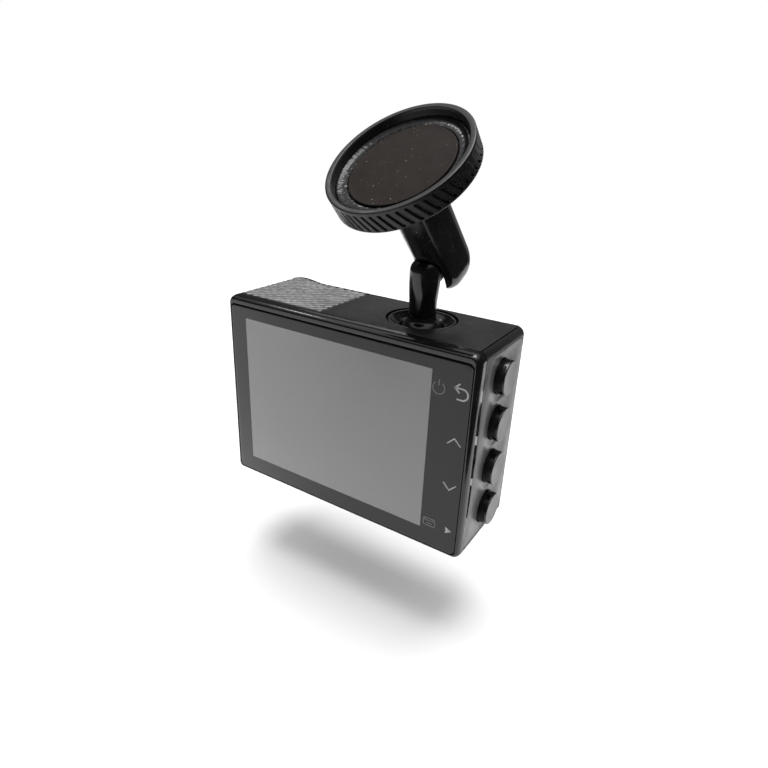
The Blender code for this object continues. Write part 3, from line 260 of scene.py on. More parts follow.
def lathe_shape(profile, steps=96):
    shape = bmesh.new()
    rings = []
    for radius, height in profile:
        if radius == 0:
            rings.append([shape.verts.new((0, 0, height))] * steps)
            continue
        turns = [math.tau * i / steps for i in range(steps)]
        rings.append([shape.verts.new((radius * math.cos(turn), radius * math.sin(turn), height))
                      for turn in turns])
    for low, high in zip(rings, rings[1:] + rings[:1]):
        for i in range(steps):
            j = (i + 1) % steps
            corners = list(dict.fromkeys((low[i], low[j], high[j], high[i])))
            if len(corners) > 2:
                shape.faces.new(corners)
    return shape


def loft(name, place, loops, surface=None, closed=False, **rest):
    return add_piece(name, loft_shape(loops, closed), place, surface, **rest)


def prism(name, place, outline, low, high, surface=None, **rest):
    return loft(name, place, [[(x, y, z) for x, y in outline] for z in (low, high)], surface, **rest)


def lathe(name, place, profile, surface=None, steps=96, **rest):
    return add_piece(name, lathe_shape(profile, steps), place, surface, **rest)


def in_mm(points):
    return [(x * MM, y * MM) for x, y in points]


def arc(centre, radius, start, end, steps):
    points = []
    for i in range(steps + 1):
        turn = math.radians(start + (end - start) * i / steps)
        points.append((centre[0] + radius * math.cos(turn), centre[1] + radius * math.sin(turn)))
    return points


def rounded_box(left, bottom, right, top, radii, steps=8):
    if not isinstance(radii, tuple):
        radii = (radii,) * 4
    corners = ((left, bottom, 1, 1), (right, bottom, -1, 1), (right, top, -1, -1), (left, top, 1, -1))
    points = []
    for turn, ((x, y, x_in, y_in), radius) in enumerate(zip(corners, radii)):
        points += arc((x + x_in * radius, y + y_in * radius), radius, 180 + 90 * turn, 270 + 90 * turn, steps)
    return points


def inset(outline, distance):
    """The outline moved in by a distance, or out by a negative one."""
    moved = []
    for i, point in enumerate(outline):
        here = Vector(point)
        before = (here - Vector(outline[i - 1])).normalized()
        after = (Vector(outline[(i + 1) % len(outline)]) - here).normalized()
        normals = (Vector((-before.y, before.x)), Vector((-after.y, after.x)))
        shared = (normals[0] + normals[1]) / (1 + normals[0].dot(normals[1]))
        moved.append(tuple(here + shared * distance))
    return moved


def cylinder(name, place, radius, low, high, steps=64):
    return lathe(name, place, [(0, low), (radius, low), (radius, high), (0, high)], None, steps)


def rounded_profile(points, radius, steps=4):
    """A closed (radius, height) profile with its corners rounded, apart from those on the axis."""
    made = []
    for i, point in enumerate(points):
        if point[0] == 0:
            made.append(point)
            continue
        here, before, after = Vector(point), Vector(points[i - 1]), Vector(points[(i + 1) % len(points)])
        reach = min(radius, (before - here).length * 0.45, (after - here).length * 0.45)
        start = here + (before - here).normalized() * reach
        end = here + (after - here).normalized() * reach
        for j in range(steps + 1):
            t = j / steps
            made.append(tuple(start * (1 - t) ** 2 + here * 2 * t * (1 - t) + end * t * t))
    return made


def apply_modifiers(target):
    """Replaces the piece's mesh by the one that its modifiers make."""
    graph = bpy.context.evaluated_depsgraph_get()
    mesh = bpy.data.meshes.new_from_object(target.evaluated_get(graph))
    old = target.data
    target.modifiers.clear()
    target.data = mesh
    bpy.data.meshes.remove(old)


def carve(target, cutters, operation="DIFFERENCE"):
    """Takes cutters out of a piece, or adds them to it, and throws them away."""
    for cutter in cutters:
        modifier = target.modifiers.new(cutter.name, "BOOLEAN")
        modifier.operation = operation
        modifier.object = cutter
        modifier.solver = "EXACT"
    bpy.context.view_layer.update()
    apply_modifiers(target)
    for cutter in cutters:
        bpy.data.objects.remove(cutter)


def soften(target, width, segments=3):
    """Rounds the real edges of a piece a little, so that they catch the light."""
    modifier = target.modifiers.new("edges", "BEVEL")
    modifier.width = width
    modifier.segments = segments
    modifier.limit_method = "ANGLE"
    modifier.angle_limit = math.radians(40)
    apply_modifiers(target)
    target.data.shade_smooth()
    target.data.set_sharp_from_angle(angle=math.radians(40))


# ---------------------------------------------------------------- surfaces

GLOSS = plastic("gloss_black", (0.007, 0.007, 0.0075), 0.13, rough_vary=0.03, smudge=0.12, dust=0.5)
SATIN = plastic("satin_black", (0.009, 0.009, 0.0095), 0.34, specular=0.38, grain=0.25, smudge=0.1,
                dust=0.4)
MATT = plastic("matt_black", (0.008, 0.008, 0.0085), 0.42, specular=0.4, grain=0.5, smudge=0.08, dust=0.45)
PANEL = plastic("satin_grey", (0.138, 0.137, 0.141), 0.33, rough_vary=0.05, grain=0.4, smudge=0.08,
                dust=0.3)
WALL = plastic("button_wall", (0.006, 0.006, 0.006), 0.14, rough_vary=0.03, smudge=0.1)
RUBBER = plastic("rubber", (0.004, 0.004, 0.004), 0.20, rough_vary=0.08, specular=0.3, grain=0.3,
                 smudge=0.1, dust=1.0)
GEL = plastic("gel_brown", (0.017, 0.0125, 0.0105), 0.55, vary=0.3, specular=0.10, grain=0.4, smudge=0.1,
              dust=0.9)
ICON = plastic("icon_paint", (0.42, 0.42, 0.42), 0.5)
ICON_DIM = plastic("icon_paint_dim", (0.13, 0.13, 0.13), 0.5)
STEEL = metal("steel", (0.56, 0.56, 0.57), 0.27, (1.0, 0.08, 1.0))
BRASS = metal("brass", (0.66, 0.49, 0.20), 0.30, (1.0, 1.0, 0.1))
BOARD = plastic("board_green", (0.012, 0.085, 0.040), 0.42, vary=0.25, grain=0.2, grain_scale=3000,
                coat=0.3)
LENS = plastic("lens_glass", (0.012, 0.010, 0.030), 0.05, rough_vary=0.02, coat=1.0)
CERAMIC = plastic("white_ceramic", (0.70, 0.67, 0.60), 0.50, vary=0.06, grain=0.3)
WHITE = plastic("white_plastic", (0.72, 0.71, 0.67), 0.42, vary=0.05, grain=0.3)
CELL = plastic("cell_blue", (0.08, 0.14, 0.28), 0.42, vary=0.12, grain=0.3)
DISPLAY = plastic("display", (0.30, 0.31, 0.31), 0.30, vary=0.05)
CHIP = plastic("dark_glass", (0.030, 0.032, 0.040), 0.12)


def screen_surface():
    """Cover glass: clear over the lit panel, which shows as an even grey, and dark printed round it."""
    made, tree, shader, place = new_surface("screen_glass", 0.10, specular=0.42)
    parts = add(tree, "ShaderNodeSeparateXYZ", {"Vector": place})
    across = maths(tree, "ABSOLUTE", maths(tree, "ADD", parts.outputs["X"], 2.5 * MM))
    upright = maths(tree, "ABSOLUTE", maths(tree, "SUBTRACT", parts.outputs["Z"], 29.23 * MM))
    inside_x = remap(tree, across, 30.45 * MM, 30.6 * MM, 1.0, 0.0, True)
    inside_y = remap(tree, upright, 22.8 * MM, 22.95 * MM, 1.0, 0.0, True)
    inside = maths(tree, "MULTIPLY", inside_x, inside_y)
    slow = noise(tree, place, 14, 2)
    lit = mixed(tree, remap(tree, slow, 0.3, 0.7, 0.0, 1.0), (0.262, 0.262, 0.268), (0.285, 0.284, 0.292))
    shade = remap(tree, parts.outputs["Z"], 6 * MM, 52 * MM, 1.0, 0.0)
    lit = mixed(tree, maths(tree, "MULTIPLY", shade, 0.35), lit, (0.325, 0.323, 0.332))
    dark = mixed(tree, noise(tree, place, 90, 4), (0.005, 0.005, 0.0053), (0.008, 0.008, 0.0084))
    linked(tree, shader.inputs["Base Color"], mixed(tree, inside, dark, lit))
    wiped = remap(tree, noise(tree, place, 55, 6, 0.65), 0.45, 0.75, 0.05, 0.15, True)
    linked(tree, shader.inputs["Roughness"], wiped)
    linked(tree, shader.inputs["Normal"], bump(tree, noise(tree, place, 60, 1), 0.05, 0.00002))
    return made


def ribbed_surface():
    """Grey cover: the cover's own light grey is kept to the ribs' crests, so the crests carry a painted
    highlight and the grooves between them painted shade.
    """
    made, tree, shader, place = new_surface("ribbed_silver", 0.38, 0.3, 0.35)
    parts = add(tree, "ShaderNodeSeparateXYZ", {"Vector": place}).outputs
    height = remap(tree, parts["Z"], HEIGHT - 0.34 * MM, HEIGHT - 0.02 * MM, 0.0, 1.0, True)
    side = remap(tree, parts["X"], -HALF_WIDTH + 0.34 * MM, -HALF_WIDTH + 0.02 * MM, 0.0, 1.0, True)
    # Painted light and shade: raised crests get the light grey, everything lower the near black.
    painted_crest_light = maths(tree, "MAXIMUM", height, side)
    streaks = add(tree, "ShaderNodeMapping", {"Vector": place, "Rotation": (0, 0, math.radians(-41.7)),
                                              "Scale": (0.12, 1.0, 1.0)}).outputs["Vector"]
    # The painted highlight on the crests varies along slanted streaks.
    crest_light_streaks = remap(tree, noise(tree, streaks, 1300, 3), 0.35, 0.65, 0.35, 1.0)
    tint = mixed(tree, maths(tree, "MULTIPLY", painted_crest_light, crest_light_streaks), (0.022, 0.022, 0.023), (0.25, 0.25, 0.255))
    linked(tree, shader.inputs["Base Color"], tint)
    linked(tree, shader.inputs["Roughness"], remap(tree, noise(tree, place, 500, 4), 0.3, 0.7, 0.33, 0.47))
    linked(tree, shader.inputs["Normal"], bump(tree, noise(tree, streaks, 4000, 2), 0.3, 0.00002))
    return made


GLASS = screen_surface()
SILVER = ribbed_surface()

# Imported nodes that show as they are, with the material that each gets
KEPT = {
    "lcd_module": DISPLAY, "lcd_tray": STEEL, "lens_rear": LENS, "lens_holder": MATT, "sensor_board": BOARD,
    "image_sensor": CHIP, "main_board": BOARD, "processor_shield": STEEL, "microphone": BRASS,
    "battery": CELL, "speaker": SATIN, "antenna": CERAMIC, "usb_socket": STEEL, "card_socket": STEEL,
    "key_board": BOARD, "pressure_pad": WHITE, "socket_liner": MATT, "pivot_washer_left": BRASS,
    "pivot_washer_right": BRASS, "suction_core": MATT, "memory_card": MATT,
}
KEPT.update({f"case_screw_{i + 1}": STEEL for i in range(4)})
KEPT.update({f"board_screw_{i + 1}": STEEL for i in range(3)})
KEPT.update({f"switch_{i + 1}": STEEL for i in range(4)})
for node, surface in KEPT.items():
    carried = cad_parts[node]
    if not carried.material_slots:
        carried.data.materials.append(None)
    for holder in carried.material_slots:
        holder.link = "OBJECT"
        holder.material = surface


# ---------------------------------------------------------------- case


def case_outline(closing):
    """The case seen from the front, drawn in by a distance."""
    radii = tuple(radius - closing for radius in (2.0 * MM, 2.0 * MM, 2.4 * MM, 2.4 * MM))
    return rounded_box(-HALF_WIDTH + closing, closing, HALF_WIDTH - closing, HEIGHT - closing, radii)


def glass_box(grown):
    return -38.6 * MM - grown, 1.3 * MM - grown, 38.6 * MM + grown, 55.5 * MM + grown


def display_box(grown):
    return -35.0 * MM - grown, 5.0 * MM - grown, 30.4 * MM + grown, 53.6 * MM + grown


def panel_outline(grown=0.0):
    """The side panel seen from the right: its front edge slants back toward the top."""
    back, corner = BACK - BACK_ROUND, 2.5 * MM
    low, high = 2.4 * MM, HEIGHT - 2.4 * MM
    points = [(FRONT + 2.5 * MM, low)]
    points += arc((back - corner, low + corner), corner, -90, 0, 10)
    points += arc((back - corner, high - corner), corner, 0, 90, 10)
    points += arc((FRONT + 5.6 * MM + corner, high - corner), corner, 90, 176, 10)
    return inset(points, -grown)


def side_panel_cutter():
    place = facing_right(HALF_WIDTH - COVER - GAP, 0, 0)
    return prism("panel_cut", place, panel_outline(0.15 * MM), 0, 5 * MM)


def make_front_frame():
    """Loops from the parting line over the rounded front edge, then down into the seat of the glass."""
    loops = [[(x, z, -PARTING) for x, z in case_outline(0)]]
    for i in range(11):
        turn = math.pi / 2 * i / 10
        closing = 1.2 * MM * (1 - math.cos(turn))
        depth = -FRONT - 2.4 * MM * (1 - math.sin(turn))
        loops.append([(x, z, depth) for x, z in case_outline(closing)])
    for grown, depth in ((0.42, 0.0), (0.33, 0.03), (0.3, 0.12), (0.3, 1.5)):
        outline = rounded_box(*glass_box(grown * MM), 1.8 * MM)
        loops.append([(x, z, -FRONT - depth * MM) for x, z in outline])
    for depth in (1.5 * MM, 3.6 * MM):
        outline = rounded_box(*display_box(0.3 * MM), 0.9 * MM)
        loops.append([(x, z, -FRONT - depth) for x, z in outline])
    shell = loft("front_frame_looks", facing_front(0, 0, 0), loops, GLOSS, closed=True)
    carve(shell, [side_panel_cutter()])
    settle(shell, "housing", "gloss_black", "front_frame")


# The bulge behind the lens: how far it stands out, where it is highest, and how long its slope is
BULGE_OUT = 2.7 * MM
BULGE_CREST = -HALF_WIDTH + BULGE_OUT
BULGE_RUN = 12.3 * MM


def bulge_plan():
    """Outline of the bulge behind the lens seen from above, and how far back it goes at each place."""
    base = BACK - 4 * MM
    plan = [(-HALF_WIDTH, base), (BULGE_CREST + 15 * MM, base)]
    for i in range(17):
        share = i / 16
        x = BULGE_CREST + BULGE_RUN * (1 - share)
        plan.append((x, BACK + BULGE_OUT * (1 - math.cos(math.pi * share)) / 2 - 0.1 * MM * (1 - share)))
    return plan + arc((BULGE_CREST, BACK), BULGE_OUT, 98, 180, 10)


def bulge_loops():
    """The bulge's outline at rising heights, drawn in at the bottom and the top."""
    base, middle = BACK - 4 * MM, BULGE_CREST + 6 * MM
    loops = []
    for height, share in ((0.5, 0.8), (0.75, 0.87), (1.2, 0.93), (1.7, 0.975), (2.4, 1.0), (55.6, 1.0),
                          (56.5, 0.988), (57.1, 0.968), (57.5, 0.935), (57.72, 0.90)):
        loops.append([(middle + (x - middle) * share, base + (y - base) * share, height * MM)
                      for x, y in bulge_plan()])
    return loops


def cover_back(x):
    """How far back the ribbed cover reaches on top, along the bulge's rim."""
    share = min(1.0, max(0.0, (BULGE_CREST + BULGE_RUN - x) / BULGE_RUN))
    out = COVER_REACH + 2.35 * MM * (1 - math.cos(math.pi * share)) / 2
    fall = min(1.0, max(0.0, (-36.6 * MM - x) / (3.0 * MM)))
    return out + (COVER_REACH - out) * fall * fall * (3 - 2 * fall)


def port_openings(grown):
    """The openings for the power socket and the memory card, in the left side."""
    back = -5.4 * MM + GAP
    cutters = []
    for name, z, y, high, wide, corner in (("usb", 34, back + 1.65 * MM, 3.3, 8.9, 1.65),
                                           ("card", 16, back + 1.35 * MM, 0.9, 11, 0.3)):
        half = (high * MM + grown) / 2, (wide * MM + grown) / 2
        outline = rounded_box(-half[0], -half[1], half[0], half[1], min(corner * MM, half[0] * 0.99))
        place = facing_left(-HALF_WIDTH, y, z * MM)
        cutters.append(prism(f"{name}_cut", place, outline, -4 * MM, 2 * MM))
    return cutters


def make_rear_shell():
    """Rounded box with the bulge and the lens boss, hollowed, with screw posts and all its openings."""
    front = PARTING + GAP
    loops = [[(x, z, front) for x, z in case_outline(0)]]
    for i in range(9):
        turn = math.pi / 2 * i / 8
        closing = BACK_ROUND * (1 - math.cos(turn))
        loops.append([(x, z, BACK - BACK_ROUND * (1 - math.sin(turn))) for x, z in case_outline(closing)])
    shell = loft("rear_shell_looks", facing_back(0, 0, 0), loops, SATIN)
    lens = facing_back(LENS_X, BACK, LENS_Z)
    rim = in_mm([(0, -1.2), (10.5, -1.2), (10.5, 4.6), (10.42, 4.82), (10.25, 4.95), (10, 5), (0, 5)])
    boss = lathe("boss_join", lens, rim, None, 128)
    carve(shell, [loft("bulge_join", facing_up(0, 0, 0), bulge_loops()), boss], "UNION")
    hollow = rounded_box(-37.0 * MM, 1.8 * MM, 37.0 * MM, 55.0 * MM, MM)
    carve(shell, [prism("cavity_cut", facing_front(0, 0, 0), hollow, -12.7 * MM, 29 * MM)])
    posts, holes = [], []
    for x, z in ((-36.6, 4.0), (-36.6, 52.4), (33.3, 4.0), (33.3, 52.4)):
        x, z = x * MM, z * MM
        posts.append(cylinder("post_join", facing_back(x, front, z), 2.1 * MM, 0, 13.2 * MM - front, 32))
        holes.append(cylinder("hole_cut", facing_back(x, front, z), 0.8 * MM, -MM, 3.4 * MM, 24))
        holes.append(cylinder("well_cut", facing_back(x, front, z), 1.4 * MM, 2.4 * MM, 30 * MM, 32))
    carve(shell, posts, "UNION")
    edge = (-HALF_WIDTH + COVER_BEND, HEIGHT - COVER_BEND)
    inner = COVER_BEND - COVER - GAP
    section = [(COVER_RIGHT + GAP, HEIGHT + 5 * MM), (-45 * MM, HEIGHT + 5 * MM), (-45 * MM, 2.1 * MM),
               (edge[0] - inner, 2.1 * MM)]
    section += arc(edge, inner, 180, 90, 8) + [(COVER_RIGHT + GAP, edge[1] + inner)]
    plan = [(COVER_RIGHT + GAP, FRONT - MM)]
    plan += [(x * MM, cover_back(x * MM) + 0.2 * MM) for x in [-8.6 - 0.5 * i for i in range(63)]]
    plan += [(-45 * MM, 13.4 * MM), (-45 * MM, FRONT - MM)]
    cutters = [
        side_panel_cutter(),
        prism("cover_cut", facing_front(0, 0, 0), section, -13.4 * MM, 29 * MM),
        prism("cover_top_cut", facing_up(0, 0, 0), plan, HEIGHT - COVER - GAP, HEIGHT + 5 * MM),
        prism("plate_cut", facing_up(0, 0, 0),
              rounded_box(COVER_RIGHT, -29 * MM, HALF_WIDTH - 1.45 * MM, 29 * MM, 0.2 * MM),
              HEIGHT - COVER - GAP, HEIGHT + 5 * MM),
        cylinder("socket_cut", facing_up(STEM_X, STEM_Y, 0), SOCKET_RADIUS, 54 * MM, 60 * MM, 128),
        cylinder("bore_cut", lens, 6.9 * MM, -6 * MM, 6 * MM, 96),
        cylinder("ring_cut", lens, 9.3 * MM, 3.8 * MM, 8 * MM, 128),
        cylinder("microphone_cut", facing_up(19 * MM, -4.2 * MM, 0), 0.5 * MM, -MM, 3 * MM, 24),
    ]
    cutters += [cylinder("button_cut", facing_right(37 * MM, BUTTON_Y, z), BUTTON_HOLE, -0.5 * MM, 5 * MM, 64)
                for z in BUTTON_HEIGHTS]
    for i in range(5):
        off = (i - 2) * 2.2 * MM
        half = math.sqrt((7 * MM) ** 2 - off**2) - 2 * MM
        cutters.append(prism("grille_cut", facing_back(17 * MM + off, 12.7 * MM, 21 * MM),
                             rounded_box(-0.5 * MM, -half, 0.5 * MM, half, 0.45 * MM), -0.5 * MM, 5 * MM))
    carve(shell, cutters + holes + port_openings(0.5 * MM))
    soften(shell, 0.12 * MM, 2)
    settle(shell, "housing", "satin_black", "rear_shell")


def make_top_plate():
    centre = (BACK - BACK_ROUND, HEIGHT - BACK_ROUND)
    low = HEIGHT - COVER
    lowest = math.degrees(math.asin((low - centre[1]) / BACK_ROUND))
    points = [(PARTING + GAP / 2, low)] + arc(centre, BACK_ROUND, lowest, 90, 12)
    points.append((PARTING + GAP / 2, HEIGHT))
    plate = prism("top_plate_looks", facing_right(0, 0, 0), points, COVER_RIGHT + GAP,
                  HALF_WIDTH - 1.7 * MM, MATT)
    carve(plate, [cylinder("hole_cut", facing_up(STEM_X, STEM_Y, 0), SOCKET_RADIUS, 54 * MM, 60 * MM, 128)])
    soften(plate, 0.16 * MM)
    settle(plate, "housing", "matt_black", "top_plate")


def cover_section(along):
    """(x, z) and the outward direction, a distance along the cover's section from its right edge."""
    top = COVER_RIGHT - (-HALF_WIDTH + COVER_BEND)
    bend = COVER_BEND * math.pi / 2
    if along <= top:
        return (COVER_RIGHT - along, HEIGHT), (0.0, 1.0)
    if along <= top + bend:
        turn = math.pi / 2 + (along - top) / COVER_BEND
        out = (math.cos(turn), math.sin(turn))
        return (-HALF_WIDTH + COVER_BEND * (1 + out[0]), HEIGHT - COVER_BEND + COVER_BEND * out[1]), out
    return (-HALF_WIDTH, HEIGHT - COVER_BEND - (along - top - bend)), (-1.0, 0.0)


def toothed(distance, position):
    """Whether a place that far in from an edge lies on the ribs' saw-tooth border or inside it."""
    return distance > 0.35 * MM + 0.75 * MM * ((position / (2.6 * MM)) % 1.0)


def make_pod_cover():
    """Wrap-around cover as a fine grid, raised into slanted, slightly wavy ribs with a toothed border."""
    side_length = 53.2 * MM
    total = COVER_RIGHT + HALF_WIDTH - COVER_BEND + COVER_BEND * math.pi / 2 + side_length
    columns, rows = round(total / (0.2 * MM)), 126
    front = PARTING + GAP / 2
    shape = bmesh.new()
    outer, inner, plain = [], [], set()
    for i in range(columns + 1):
        along = total * i / columns
        (x, z), out = cover_section(along)
        reach = cover_back(COVER_RIGHT - along) if along < 31 * MM else COVER_REACH
        upper, lower = [], []
        for j in range(rows + 1):
            y = front + (reach - front) * j / rows
            flat = COVER_RIGHT - along
            wave = 0.22 * MM * math.sin(flat / (2.7 * MM) + 1.3 * math.sin(y / (5 * MM)))
            phase = (-0.665 * flat + 0.747 * y + wave) / (1.85 * MM)
            rim = min(along, total - along, y - front, reach - y)
            ribbed = toothed(y - front, flat) and toothed(along, y) and rim > 0.3 * MM
            height = -0.16 + 0.16 * math.cos(math.tau * phase) if ribbed else -0.3
            if rim < 0.1 * MM:
                height = -0.35
            upper.append(shape.verts.new((x + out[0] * height * MM, y, z + out[1] * height * MM)))
            lower.append(shape.verts.new((x - out[0] * COVER, y, z - out[1] * COVER)))
            if not ribbed:
                plain.add(upper[-1])
        outer.append(upper)
        inner.append(lower)
    for sheet, flip in ((outer, False), (inner, True)):
        for first, second in zip(sheet, sheet[1:]):
            for j in range(rows):
                corners = [first[j], second[j], second[j + 1], first[j + 1]]
                face = shape.faces.new(corners[::-1] if flip else corners)
                face.material_index = 1 if sum(c in plain for c in corners) > 2 or flip else 0
    for up, down in ((outer[0], inner[0]), (outer[-1], inner[-1]),
                     ([c[0] for c in outer], [c[0] for c in inner]),
                     ([c[-1] for c in outer], [c[-1] for c in inner])):
        for j in range(len(up) - 1):
            shape.faces.new((up[j], up[j + 1], down[j + 1], down[j])).material_index = 1
    cover = add_piece("pod_cover_looks", shape, Matrix.Identity(4), SILVER, sharp=60)
    cover.data.materials.append(MATT)
    carve(cover, port_openings(MM))
    settle(cover, "housing", "ribbed_silver", "pod_cover")


def make_side_panel():
    """Flat panel with a shallow dish round each button."""
    panel = prism("side_panel_looks", facing_right(HALF_WIDTH, 0, 0), panel_outline(), -COVER, 0, PANEL)
    soften(panel, 0.12 * MM)
    dishes = []
    for z in BUTTON_HEIGHTS:
        profile = [(0, -2 * MM), (BUTTON_HOLE, -2 * MM), (BUTTON_HOLE, -0.37 * MM), (4.95 * MM, -0.33 * MM)]
        for i in range(9):
            share = i / 8
            profile.append((5.1 * MM + 1.35 * MM * share, -0.32 * MM * (1 - share**1.6)))
        profile += [(6.6 * MM, 0.12 * MM), (6.9 * MM, 0.6 * MM), (0, 0.6 * MM)]
        dishes.append(lathe("dish_cut", facing_right(HALF_WIDTH, BUTTON_Y, z), profile, None, 128))
    carve(panel, dishes)
    panel.data.set_sharp_from_angle(angle=math.radians(50))
    settle(panel, "housing", "satin_grey", "side_panel")


def make_glass():
    loops = []
    for closing, depth in ((0.05, -1.2), (0.0, -1.15), (0.0, -0.16), (0.05, -0.04), (0.16, 0.0)):
        outline = rounded_box(*glass_box(-closing * MM), (1.5 - closing) * MM)
        loops.append([(x, z, depth * MM) for x, z in outline])
    loft("screen_glass_looks", facing_front(0, FRONT, 0), loops, GLASS, body="housing", slot="dark_glass",
         replaced=["screen_glass"])


def strokes(name, surface, width, *lines):
    """Printed marks: each line is a run of points in millimetres on the glass."""
    shape = bmesh.new()
    for line in lines:
        points = [Vector(point) * MM for point in line]
        rings = []
        for i, here in enumerate(points):
            before = (here - points[i - 1]).normalized() if i else None
            after = (points[i + 1] - here).normalized() if i + 1 < len(points) else None
            run = before if after is None else after if before is None else (before + after).normalized()
            stretch = 1.0 if before is None or after is None else 1 / max(0.4, run.dot(after))
            side = Vector((-run.y, run.x)) * width / 2 * MM * stretch
            rings.append([shape.verts.new((here.x + s * side.x, here.y + s * side.y, h * MM))
                          for s, h in ((-1, 0.005), (1, 0.005), (1, 0.025), (-1, 0.025))])
        for low, high in zip(rings, rings[1:]):
            for i in range(4):
                shape.faces.new((low[i], low[(i + 1) % 4], high[(i + 1) % 4], high[i]))
        shape.faces.new(rings[0][::-1])
        shape.faces.new(rings[-1])
    add_piece(name, shape, facing_front(0, FRONT, 0), surface, "housing", "display")


def make_icons():
    strokes("icon_power", ICON_DIM, 0.34, arc((30.1, 47.7), 1.6, 125, 415, 28), [(30.1, 48.3), (30.1, 49.9)])
    hook = [(34.3, 49.0), (36.4, 49.0)] + arc((36.4, 47.55), 1.45, 88, -90, 14) + [(35.0, 46.1)]
    strokes("icon_return", ICON, 0.42, hook, [(35.6, 50.2), (34.3, 49.0), (35.6, 47.8)])
    strokes("icon_up", ICON, 0.34, [(33.7, 33.8), (35.5, 35.6), (37.3, 33.8)])
    strokes("icon_down", ICON, 0.34, [(33.6, 22.5), (35.4, 20.7), (37.2, 22.5)])
    frame_line = rounded_box(29.0, 7.6, 32.4, 9.9, 0.5, 3)
    strokes("icon_clip", ICON_DIM, 0.3, frame_line + frame_line[:1], [(29.9, 8.3), (31.5, 8.3)],
            [(29.2, 9.2), (32.2, 9.2)])
    triangle = in_mm([(35.5, 7.4), (37.2, 8.4), (35.5, 9.4)])
    prism("icon_play", facing_front(0, FRONT, 0), triangle, 0.005 * MM, 0.025 * MM, ICON, body="housing",
          slot="display")


def make_buttons():
    for number, z in enumerate(BUTTON_HEIGHTS, 1):
        low, top, radius = -4.10 * MM, 2.2 * MM, BUTTON_RADIUS
        profile = [(0, low), (radius, low), (radius, top - 0.5 * MM)]
        profile += arc((radius - 0.38 * MM, top - 0.38 * MM), 0.38 * MM, 10, 90, 6)
        profile += [(radius * share, top - 0.15 * MM * (1 - share**2)) for share in (0.82, 0.7, 0.5, 0.25)]
        profile.append((0, top - 0.15 * MM))
        place = facing_right(HALF_WIDTH, BUTTON_Y, z)
        button = lathe(f"button_{number}_looks", place, profile, WALL, 96)
        reach = radius + 0.9 * MM
        tab_outline = rounded_box(-reach, -3 * MM, reach, 3 * MM, 0.3 * MM)
        tabs = prism("tabs_join", place, tab_outline, low, low + 0.8 * MM)
        carve(button, [tabs], "UNION")
        button.data.materials.append(PANEL)
        for face in button.data.polygons:
            face.material_index = 1 if face.normal.z > 0.75 and face.center.z > top - 0.4 * MM else 0
        button.data.shade_smooth()
        button.data.set_sharp_from_angle(angle=math.radians(40))
        settle(button, f"button_{number}", "satin_grey", f"button_{number}")


def make_lens():
    place = facing_back(LENS_X, BACK, LENS_Z)
    barrel = in_mm([(4.4, -12), (6.6, -12), (6.6, 3.5), (5.9, 3.5), (5.9, 0.3), (4.4, 0.3)])
    lathe("lens_barrel_looks", place, rounded_profile(barrel, 0.12 * MM), SATIN, 128, body="housing",
          slot="satin_black", replaced=["lens_barrel"])
    dome = in_mm([(0, 0.7), (5.6, 0.7), (5.6, 2.1)])
    dome += [(5.6 * MM * math.cos(t), 2.1 * MM + 1.9 * MM * math.sin(t))
             for t in [math.pi / 2 * i / 16 for i in range(1, 16)]] + [(0, 4.0 * MM)]
    lathe("lens_front_looks", place, dome, LENS, 128, body="housing", slot="lens_glass",
          replaced=["lens_front"])
    ring = in_mm([(6.5, 4.1), (9.05, 4.1), (9.05, 5.0), (8.75, 5.3), (7.2, 5.3)])
    lathe("lens_ring_looks", place, rounded_profile(ring, 0.1 * MM), STEEL, 128, body="housing", slot="steel",
          replaced=["lens_ring"])


# ---------------------------------------------------------------- ball joint


def make_socket():
    """Cup under the top plate, cut flat at the back to clear the case, and the ring that holds the ball."""
    place = facing_up(STEM_X, STEM_Y, BALL_Z)
    outer, wall = SOCKET_RADIUS - GAP, 1.3 * MM
    floor, cup_top = -8.6 * MM, 1.5 * MM
    profile = [(0, floor), (outer, floor), (outer, cup_top - 1.2 * MM),
               (outer + 2.4 * MM, cup_top - 1.2 * MM), (outer + 2.4 * MM, cup_top), (outer - wall, cup_top),
               (outer - wall, floor + wall), (0, floor + wall)]
    cup = lathe("socket_cup_looks", place, profile, SATIN, 128)
    flat = 12.4 * MM - STEM_Y
    carve(cup, [prism("flat_cut", place, rounded_box(-15 * MM, flat, 15 * MM, flat + 10 * MM, 0.3 * MM),
                      -MM, 5 * MM)])
    settle(cup, "housing", "satin_black", "socket_cup")
    top = 4.55 * MM
    low = top - 2.5 * MM
    throat = math.sqrt(BALL_RADIUS**2 - low**2) + GAP + 0.15 * MM
    ring = [(throat, low), (outer, low), (outer, top - 0.3 * MM), (outer - 0.3 * MM, top),
            (outer - 0.9 * MM, top), (outer - 1.2 * MM, top - 0.5 * MM), (throat + 0.9 * MM, low + 0.9 * MM),
            (throat, low + 0.5 * MM)]
    lathe("socket_ring_looks", place, rounded_profile(ring, 0.16 * MM), GLOSS, 160, body="housing",
          slot="gloss_black", replaced=["socket_ring"])


